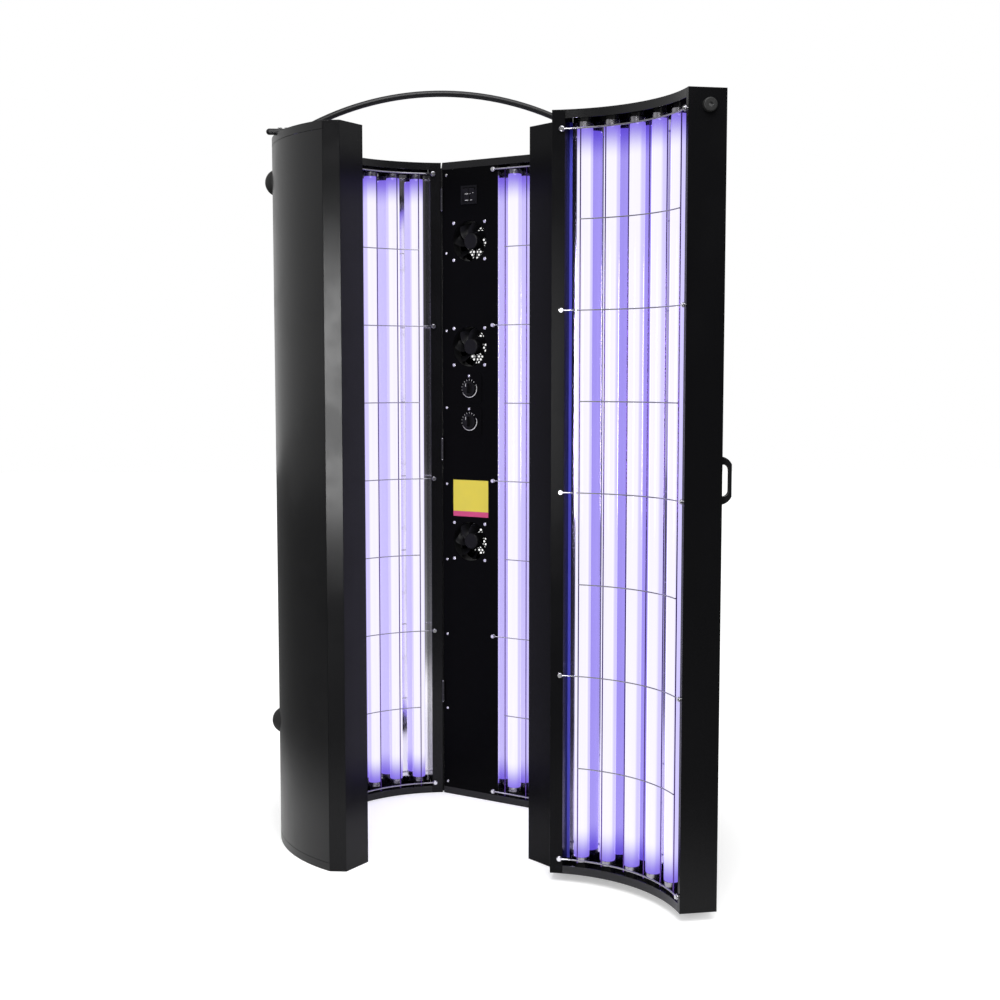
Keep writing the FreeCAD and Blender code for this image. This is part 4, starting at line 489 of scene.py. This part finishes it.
def tubes(name, spots, low, high, panel, sides=40):
    """Tubes of revolution between two heights, one on each spot.

    x and y are the spot's own plus the profile's radius times the cosine and the sine of the turn,
    which starts at the back. The profile ends at radius 0, so both ends are closed.
    """
    # The shoulder is rounded over the first 6 mm, and the tube is straight beyond.
    rise = np.array([0.0, 0.0, 2.0, 6.0, 45.0, 90.0, 200.0])
    rise = np.concatenate([low + rise, high - rise[::-1]])
    radius = np.array([0.0, LAMP_SHOULDER, LAMP_RADIUS - 0.3] + [LAMP_RADIUS] * 4)
    radius = np.concatenate([radius, radius[::-1]])
    levels = len(rise)
    turn = np.linspace(0.0, 2.0 * math.pi, sides, endpoint=False)
    places, faces, prints = [], [], []
    for index, (x, y, outward) in enumerate(spots):
        ring = math.atan2(-outward[1], -outward[0]) + math.pi + turn
        grid = np.stack([x + np.outer(np.cos(ring), radius), y + np.outer(np.sin(ring), radius),
                         np.broadcast_to(rise, (sides, levels))], axis=-1)
        places.append(grid.reshape(-1, 3))
        faces.append(closed_grid(sides, levels, index * sides * levels))
        u = np.arange(sides)[:, None] / sides + np.array([0.0, 1.0 / sides, 1.0 / sides, 0.0])
        v = (rise - low) / (high - low)
        v = np.stack([v[:-1], v[:-1], v[1:], v[1:]], axis=-1)
        prints.append(np.stack(np.broadcast_arrays(u[:, None, :], v[None]), axis=-1).reshape(-1, 2))
    return built(name, in_booth(np.concatenate(places), panel), np.concatenate(faces).tolist(),
                 lit_glass, uv=np.concatenate(prints))


def round_spots(middle, count, pitch):
    """Lamp places on the lamp circle: count of them, pitch degrees apart, about a middle angle.

    Each gives x, y and the direction away from the person.
    """
    angles = middle + (np.arange(count) - (count - 1) / 2) * pitch
    return [(*plan(LAMP_CIRCLE, angle)[:2], plan(1.0, angle)[:2]) for angle in angles]


def flat_spot(along, depth):
    """Point of the right shell's flat wall, along it from the rear seam and depth behind it.

    With the wall's lean a, x is along cos a + depth sin a, and y is the wall's start
    - along sin a + depth cos a.
    """
    lean = math.radians(FLAT_LEAN)
    return (along * math.cos(lean) + depth * math.sin(lean),
            FLAT_START - along * math.sin(lean) + depth * math.cos(lean))


left_spots = round_spots(middle=SHELL_MIDDLE, count=12, pitch=11.0)
right_spots = round_spots(middle=SHELL_MIDDLE + 37.2, count=6, pitch=10.6)
right_spots += [(*flat_spot(along, FLAT_LAMP_DEPTH), plan(1.0, FLAT_LEAN)[:2])
                for along in FLAT_LAMPS]
door_spots = round_spots(middle=38.5, count=6, pitch=10.6)
for panel, spots, foot in (("left", left_spots, SHELL_LAMP_FOOT),
                           ("right", right_spots, SHELL_LAMP_FOOT),
                           ("door", door_spots, DOOR_LAMP_FOOT)):
    name = panel + "_lamps"
    stand_for(tubes(name + "_glass", spots, foot, foot + LAMP_LENGTH, panel), name)

# ------------------------------------------------------------------ gap shade strip
# A narrow blue strip along the edge of the door's reflector, on the hinge side, paints the dark
# violet shade of the gap there.
SHADE_STRIP_RADII = np.array([397.5, 397.5, 398.4, 398.4])
SHADE_STRIP_ANGLES = np.array([4.9, 6.3, 6.3, 4.9])
SHADE_STRIP_ENDS = (42.0, 1840.0)
gap_shade_strip, tree, shader = finish("gap_shade_strip", (0.1, 0.11, 0.7), roughness=0.3,
                                 Specular_IOR_Level=0.3)
painted_shade_blue = mixed(tree, noise(tree, object_coords(tree), 6.0), (0.08, 0.1, 0.7, 1.0),
                  (0.13, 0.11, 0.62, 1.0))
tree.links.new(painted_shade_blue, shader.inputs["Base Color"])
shade_strip_corners = np.repeat(plan(SHADE_STRIP_RADII, SHADE_STRIP_ANGLES), 2, axis=0)
shade_strip_corners[:, 2] = np.tile(SHADE_STRIP_ENDS, 4)
shade_strip_faces = closed_grid(4, 2).tolist() + [[0, 2, 4, 6], [7, 5, 3, 1]]
strip = built("gap_shade_strip", in_booth(shade_strip_corners, "door"), shade_strip_faces, gap_shade_strip)
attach(strip, body_of["door_reflector"])

# ------------------------------------------------------------------ lamp ends and holders
# Each lamp ends in a pressed aluminium cap with two brass pins, which are turned into a moulded
# black holder on the panel's own cap.
metal, given, result = new_group(
    "worn_metal",
    {"Colour": ("Color", (0.7, 0.7, 0.7, 1.0)), "Stain": ("Color", (0.5, 0.5, 0.5, 1.0)),
     "Grain": ("Float", 800.0), "Roughness": ("Float", 0.3), "Spread": ("Float", 0.1)})
place = object_coords(metal)
stain = ramp(metal, noise(metal, place, 60.0, 3.0), 0.45, 0.75, 0.0, 1.0)
grain = noise(metal, place, given["Grain"])
give(metal, result, mixed(metal, stain, given["Colour"], given["Stain"]),
     reckon(metal, "MULTIPLY_ADD", grain, given["Spread"], given["Roughness"]), grain)

moulded, given, result = new_group(
    "moulded_plastic",
    {"Colour": ("Color", (0.02, 0.02, 0.02, 1.0)), "Shade": ("Color", (0.03, 0.03, 0.03, 1.0)),
     "Grain": ("Float", 1800.0), "Roughness": ("Float", 0.4)})
place = object_coords(moulded)
patch = noise(moulded, place, 25.0, 3.0)
give(moulded, result, mixed(moulded, patch, given["Colour"], given["Shade"]),
     reckon(moulded, "MULTIPLY_ADD", patch, 0.12, given["Roughness"]),
     noise(moulded, place, given["Grain"]))

cap_metal = dressed("cap_metal", metal, relief=0.000004, metallic=1.0, Roughness=0.2,
                    Colour=(0.38, 0.37, 0.4, 1.0), Stain=(0.25, 0.24, 0.26, 1.0))
holder_plastic = dressed("holder_plastic", moulded, relief=0.000006, Roughness=0.4,
                         Colour=(0.006, 0.006, 0.006, 1.0), Shade=(0.01, 0.01, 0.01, 1.0),
                         Specular_IOR_Level=0.2)
for name in ("shell_lamp_ends", "door_lamp_ends"):
    finished_copy(name, cap_metal, edge=0.0006)
for name in ("shell_lamp_sockets", "door_lamp_sockets"):
    finished_copy(name, holder_plastic)

# ------------------------------------------------------------------ guards
# Welded nets of 3 and 4 mm chrome-plated wire in front of the lamps, with eyes that hook over
# headed studs in the posts. The uprights, which stand against the lamps, are coloured dark violet:
# painted shade and a painted reflection of the lamps' light.
UPRIGHT_SPAN = 0.05
WIRE_CREASE = 55.0
chrome = dressed("chrome_wire", metal, relief=0.000002, metallic=1.0, Roughness=0.1, Spread=0.08,
                 Colour=(0.42, 0.41, 0.45, 1.0), Stain=(0.34, 0.32, 0.37, 1.0))
# The uprights' dark violet is painted shade and painted reflection of the lamps, not the wire's own
# colour.
violet_shaded_chrome = dressed("upright_wire", metal, relief=0.000002, metallic=1.0, Roughness=0.1,
                      Spread=0.08, Colour=(0.15, 0.08, 0.38, 1.0), Stain=(0.1, 0.04, 0.3, 1.0))
bright_stud = dressed("bright_stud", metal, relief=0.000002, metallic=1.0, Roughness=0.12,
                      Colour=(0.82, 0.82, 0.84, 1.0), Stain=(0.7, 0.7, 0.7, 1.0))


def tall_faces(mesh, least):
    """True for each face whose highest corner is more than least metres above its lowest."""
    place = np.empty(len(mesh.vertices) * 3)
    mesh.vertices.foreach_get("co", place)
    start = np.empty(len(mesh.polygons), int)
    mesh.polygons.foreach_get("loop_start", start)
    corner = np.empty(len(mesh.loops), int)
    mesh.loops.foreach_get("vertex_index", corner)
    level = place[2::3][corner]
    return np.maximum.reduceat(level, start) - np.minimum.reduceat(level, start) > least


for name in ("left_guard", "right_guard", "door_guard"):
    guard = finished_copy(name, chrome, crease=WIRE_CREASE).data
    guard.materials.append(violet_shaded_chrome)
    painted_shade_uprights = tall_faces(guard, UPRIGHT_SPAN).astype(np.int32)
    guard.polygons.foreach_set("material_index", painted_shade_uprights)
for name in ("shell_guard_studs", "door_guard_studs"):
    finished_copy(name, bright_stud, crease=WIRE_CREASE)

# ------------------------------------------------------------------ control strip
# A satin black front sheet of steel with nine screws, set in the flat wall beside the rear seam,
# and two small plates with rounded corners that carry the timers.
panel_paint = dressed("panel_paint", coat, relief=0.00001, Colour=(0.0014, 0.0014, 0.0016, 1.0),
                      Dust_Colour=(0.03, 0.03, 0.03, 1.0), Peel_Scale=420.0, Gloss=0.4,
                      Smears=0.08, Dust=0.04, Specular_IOR_Level=0.03)
finished_copy("control_panel", panel_paint)
finished_copy("timer_plates", panel_paint, edge=0.0004)

# ------------------------------------------------------------------ screws and pins
# Round-headed screws through the front sheet, the fans, the top bar's feet and the door, and the
# pins of the hinges. All are zinc-plated steel.
zinc = dressed("zinc_screw", metal, relief=0.000004, metallic=1.0, Roughness=0.16,
               Colour=(0.76, 0.76, 0.77, 1.0), Stain=(0.6, 0.6, 0.6, 1.0))
for name in ("panel_screws", "fan_screws", "brace_screws", "door_screws", "rear_hinge_pins",
             "door_hinge_pins"):
    finished_copy(name, zinc, crease=35.0)

# ------------------------------------------------------------------ switch, timers and fan frames
# Moulded black plastic: the bezel and the two rockers of the switch, the frames of the fans, the
# bodies and knobs of the clockwork timers, the contactor behind the strip and the cable gland.
STRIP_MIDDLE = 95.0
black_plastic = dressed("black_plastic", moulded, relief=0.000008, Roughness=0.34,
                        Colour=(0.0025, 0.0025, 0.003, 1.0), Shade=(0.005, 0.005, 0.0055, 1.0),
                        Specular_IOR_Level=0.14)
for name in ("switch_bezel", "switch_rocker_left", "switch_rocker_right", "fan_frames",
             "timer_bodies", "timer_knob_upper", "timer_knob_lower", "contactor", "cable_gland"):
    finished_copy(name, black_plastic, edge=0.0005)


def on_strip(across, up, depth):
    """Points on the control strip: across from its middle, up from the floor, depth behind it."""
    x, y = flat_spot(STRIP_MIDDLE + across, depth)
    return in_booth(np.stack(np.broadcast_arrays(x, y, up), axis=-1).reshape(-1, 3), "right")


# ------------------------------------------------------------------ fans
# Axial fans of 120 mm with seven swept blades and a hub in one moulding of black plastic, turning
# on a steel shaft behind the front sheet.
FAN_HEIGHTS = {"upper": 1623.0, "middle": 1323.0, "lower": 760.0}
HUB_PROFILE = np.array([(0.0, 5.1), (19.0, 5.1), (21.5, 5.7), (23.0, 7.6), (23.0, 29.1),
                        (3.0, 29.1), (3.0, 37.0), (0.0, 37.0)])
HUB_SIDES = 48
BLADES = 7
BLADE_ROOT = 21.5
BLADE_REACH = 32.9
BLADE_MIDDLE = 17.1
BLADE_WIDTH = 25.0
ROOT_WIDTH_SHARE = 0.72
BLADE_THICKNESS = 0.9
TIP_THINNING = 0.3
BLADE_RISE = 20.5
BLADE_CAMBER = 2.2
BLADE_SWEEP = 0.42
BLADE_PITCH = math.radians(40.0)
blade_plastic = dressed("blade_plastic", moulded, relief=0.000008, Roughness=0.24,
                        Colour=(0.003, 0.003, 0.0035, 1.0), Shade=(0.006, 0.006, 0.0065, 1.0),
                        Specular_IOR_Level=0.12)


def fan_wheel(name, height):
    """Hub of revolution with seven blades; each is a thin cambered oval carried out along r.

    Round the oval, the chord c is half the cosine of t and the thickness follows the sine of t. The
    angle about the hub is the blade's own, plus the sweep times the share of the reach to the
    power 1.5, plus the offset along c over r. The depth is the middle, plus c times the rise, plus
    the camber times one less four c squared, plus the thickness times the cosine of the pitch.
    """
    turn = np.linspace(0.0, 2.0 * math.pi, HUB_SIDES, endpoint=False)
    reach, depth = HUB_PROFILE.T
    hub = on_strip(np.outer(np.sin(turn), reach), height + np.outer(np.cos(turn), reach),
                   np.broadcast_to(depth, (HUB_SIDES, len(depth))))
    places, faces, start = [hub], closed_grid(HUB_SIDES, len(depth)).tolist(), len(hub)
    around, along = 14, 10
    t = np.linspace(0.0, 2.0 * math.pi, around, endpoint=False)[:, None]
    out = np.linspace(0.0, 1.0, along)[None, :]
    radius = BLADE_ROOT + BLADE_REACH * out
    chord = 0.5 * np.cos(t)
    thick = BLADE_THICKNESS * np.sin(t) * (1.0 - TIP_THINNING * out)
    width = BLADE_WIDTH * (ROOT_WIDTH_SHARE + (1.0 - ROOT_WIDTH_SHARE) * out)
    tangent = chord * width - thick * math.sin(BLADE_PITCH)
    axial = (chord * BLADE_RISE + BLADE_CAMBER * (1.0 - 4.0 * chord ** 2)
             + thick * math.cos(BLADE_PITCH))
    for blade in range(BLADES):
        angle = 2.0 * math.pi * blade / BLADES + BLADE_SWEEP * out ** 1.5 + tangent / radius
        places.append(on_strip(radius * np.sin(angle), height + radius * np.cos(angle),
                               BLADE_MIDDLE + axial))
        faces += closed_grid(around, along, start).tolist()
        rim = start + np.arange(around) * along
        faces += [rim.tolist(), (rim[::-1] + along - 1).tolist()]
        start += around * along
    return built(name, np.concatenate(places), faces, blade_plastic)


for row, height in FAN_HEIGHTS.items():
    stand_for(fan_wheel("fan_wheel_" + row, height), "fan_rotor_" + row)

# ------------------------------------------------------------------ printed marks
# Marks in pale ink: a ring of ticks and an arc round each timer knob, and a pointer line on the
# knob.
# Pale dashes lie on the two rockers. Each is a thin film on the surface that carries it.
TIMER_HEIGHTS = {"upper": 1203.0, "lower": 1108.0}
SWITCH_HEIGHT = 1753.0
TICK_CLOCKS = np.radians(np.arange(-120.0, 50.0, 20.0))
TICK_REACH = np.array([22.6, 26.6])
TICK_HALF = 0.65
ARC_CLOCK = np.radians(np.linspace(64.0, 236.0, 36))
ARC_RADIUS = 25.3
ARC_HALF = 0.35 + np.sin(np.linspace(0.0, math.pi, 36)) ** 0.5
DIAL_FRONT = -1.75
POINTER = np.array([5.0, 14.0])
KNOB_FRONT = -21.35
LINE_HALF = 0.8
# Each dash on a rocker: from, to, height above the switch's middle, and the rocker's front there.
DASHES = {"left": ((-14.5, -2.5, -15.0, -0.75), (-14.5, -2.5, 3.0, -1.8)),
          "right": ((2.5, 10.0, -15.0, -0.75), (2.5, 5.0, 3.0, -1.8), (12.4, 15.2, 5.0, -2.4))}

print_ink, tree, shader = finish("print_ink", (0.45, 0.45, 0.44))
worn_ink = mixed(tree, noise(tree, object_coords(tree), 400.0), (0.3, 0.3, 0.3, 1.0),
                 (0.55, 0.55, 0.53, 1.0))
tree.links.new(worn_ink, shader.inputs["Base Color"])


def ribbons(name, lines, material, sheet=0.15):
    """Flat strips on the control strip, each along a line of its own at its own depth.

    Every point of a line is set out by half the strip's width to both sides, square to its run,
    once at the front and once sheet millimetres behind it.
    """
    places, faces, start = [], [], 0
    for across, up, half, front in lines:
        line = np.stack(np.broadcast_arrays(across, up), axis=-1).astype(float)
        run = np.gradient(line, axis=0)
        run /= np.linalg.norm(run, axis=1, keepdims=True)
        side = np.stack([-run[:, 1], run[:, 0]], axis=-1) * np.reshape(half, (-1, 1))
        edges = np.stack([line + side, line - side, line - side, line + side])
        depth = np.array([front, front, front + sheet, front + sheet])[:, None]
        places.append(on_strip(edges[..., 0], edges[..., 1],
                               np.broadcast_to(depth, edges.shape[:2])))
        count = len(line)
        faces += closed_grid(4, count, start).tolist()
        end = start + np.arange(4) * count
        faces += [end.tolist(), (end[::-1] + count - 1).tolist()]
        start += 4 * count
    return built(name, np.concatenate(places), faces, material, crease=30.0)


dial_lines = []
for height in TIMER_HEIGHTS.values():
    for clock in TICK_CLOCKS:
        dial_lines.append((TICK_REACH * math.sin(clock), height + TICK_REACH * math.cos(clock),
                           TICK_HALF, DIAL_FRONT))
    dial_lines.append((ARC_RADIUS * np.sin(ARC_CLOCK), height + ARC_RADIUS * np.cos(ARC_CLOCK),
                       ARC_HALF, DIAL_FRONT))
prints = [(ribbons("dial_print", dial_lines, print_ink), "control_panel")]
for side, dashes in DASHES.items():
    lines = [(np.array([start, end]), np.full(2, SWITCH_HEIGHT + up), LINE_HALF, front)
             for start, end, up, front in dashes]
    prints.append((ribbons("rocker_dashes_" + side, lines, print_ink, sheet=0.6),
                   "switch_rocker_" + side))
for row, height in TIMER_HEIGHTS.items():
    line = (np.zeros(2), height + POINTER, LINE_HALF, KNOB_FRONT)
    prints.append((ribbons("timer_pointer_" + row, [line], print_ink), "timer_knob_" + row))
for made, carrier in prints:
    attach(made, body_of[carrier])

# ------------------------------------------------------------------ label plate
# A blank label glued to the front sheet between the timers and the lower fan: yellow card, with a
# pink band along its foot.
LABEL_MIDDLE = 3.5
LABEL_WIDTH = 120.0
LABEL_FRONT = -0.4
for name, colour, shade, top, foot in (
        ("label_card", (0.62, 0.51, 0.04, 1.0), (0.54, 0.46, 0.05, 1.0), 938.0, 847.0),
        ("label_band", (0.52, 0.05, 0.16, 1.0), (0.44, 0.04, 0.13, 1.0), 846.8, 832.0)):
    card = dressed(name, moulded, relief=0.000004, Roughness=0.35, Colour=colour, Shade=shade)
    line = (np.full(2, LABEL_MIDDLE), np.array([top, foot]), LABEL_WIDTH / 2, LABEL_FRONT)
    made = ribbons(name, [line], card, sheet=0.3)
    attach(made, body_of["control_panel"])

# ------------------------------------------------------------------ hinges
# Butt hinges of steel, painted black: three join the shells at the rear seam and three carry the
# door. Their leaves are fixed to the posts and their knuckles turn on zinc-plated pins.
hinge_paint = dressed("hinge_paint", coat, relief=0.000008, Colour=(0.012, 0.012, 0.013, 1.0),
                      Dust_Colour=(0.1, 0.1, 0.1, 1.0), Peel_Scale=500.0, Gloss=0.34, Smears=0.1,
                      Dust=0.08)
for name in ("rear_hinge_leaves_left", "rear_hinge_leaves_right", "post_hinge_leaves",
             "door_hinge_leaves"):
    finished_copy(name, hinge_paint, edge=0.0004)

# ------------------------------------------------------------------ top bar and handle
# A round steel bar bent over the top, whose feet are screwed to the shells and hold them as they
# stand, and a bow handle on the door's latch side. Both are powder coated satin black.
brace_paint = dressed("brace_paint", coat, relief=0.00001, Colour=(0.006, 0.006, 0.007, 1.0),
                      Dust_Colour=(0.12, 0.12, 0.12, 1.0), Peel_Scale=380.0, Gloss=0.3,
                      Smears=0.08, Dust=0.05, Specular_IOR_Level=0.25)
for name in ("top_brace", "door_handle"):
    finished_copy(name, brace_paint, crease=40.0)

# ------------------------------------------------------------------ rubber pads
# Domed pads on the outer skins, which keep the booth off the wall, and the round stop screwed to
# the door's latch face. All are moulded black rubber.
rubber = dressed("black_rubber", moulded, relief=0.00001, Colour=(0.01, 0.01, 0.01, 1.0),
                 Shade=(0.02, 0.02, 0.02, 1.0), Grain=1200.0, Roughness=0.5,
                 Specular_IOR_Level=0.3)
for name in ("wall_bumpers", "door_bumper"):
    finished_copy(name, rubber, crease=35.0)


# ------------------------------------------------------------------ rear seam seal
# A rubber lip pressed into the gap between the two rear posts, behind the hinges, from the floor
# to the top. Its front waves a little because it was pushed in by hand.
SEAL_HALF = 1.6
SEAL_FRONT, SEAL_BACK = 345.5, 352.0
SEAL_FOOT, SEAL_TOP = 2.0, 1836.0
SEAL_WAVE, SEAL_WAVELENGTH = 0.15, 37.0
SEAL_SIDES, SEAL_LEVELS = 16, 60


def softened(wave):
    """Square root of a sine or cosine, with its sign kept, which makes a round section boxier."""
    return np.sign(wave) * np.abs(wave) ** 0.5


# x is half the width times the softened cosine; y is the middle plus half the depth times the
# softened sine, plus the wave's height times the sine of the height over its wavelength.
turn = np.linspace(0.0, 2.0 * math.pi, SEAL_SIDES, endpoint=False)[:, None]
up = np.linspace(SEAL_FOOT, SEAL_TOP, SEAL_LEVELS)[None, :]
x = SEAL_HALF * softened(np.cos(turn))
y = (SEAL_FRONT + SEAL_BACK) / 2 + (SEAL_BACK - SEAL_FRONT) / 2 * softened(np.sin(turn))
y = y + SEAL_WAVE * np.sin(up / SEAL_WAVELENGTH)
lip = np.stack(np.broadcast_arrays(x, y, up), axis=-1).reshape(-1, 3)
end = np.arange(SEAL_SIDES) * SEAL_LEVELS
lip_faces = closed_grid(SEAL_SIDES, SEAL_LEVELS).tolist()
lip_faces += [end.tolist(), (end[::-1] + SEAL_LEVELS - 1).tolist()]
seal = built("seam_seal", in_booth(lip, "seam"), lip_faces, rubber)
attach(seal, body_of["left_rear_post"])

# ------------------------------------------------------------------ ballasts
# Enamelled steel boxes with the lamps' windings inside, fixed between the reflectors and the outer
# skins in two rows. The closed casing hides them.
ballast_enamel = dressed("ballast_enamel", coat, relief=0.000008, Colour=(0.35, 0.36, 0.37, 1.0),
                         Dust_Colour=(0.5, 0.48, 0.45, 1.0), Gloss=0.4, Smears=0.1, Dust=0.2)
for name in ("shell_ballasts", "door_ballasts"):
    finished_copy(name, ballast_enamel, edge=0.001)
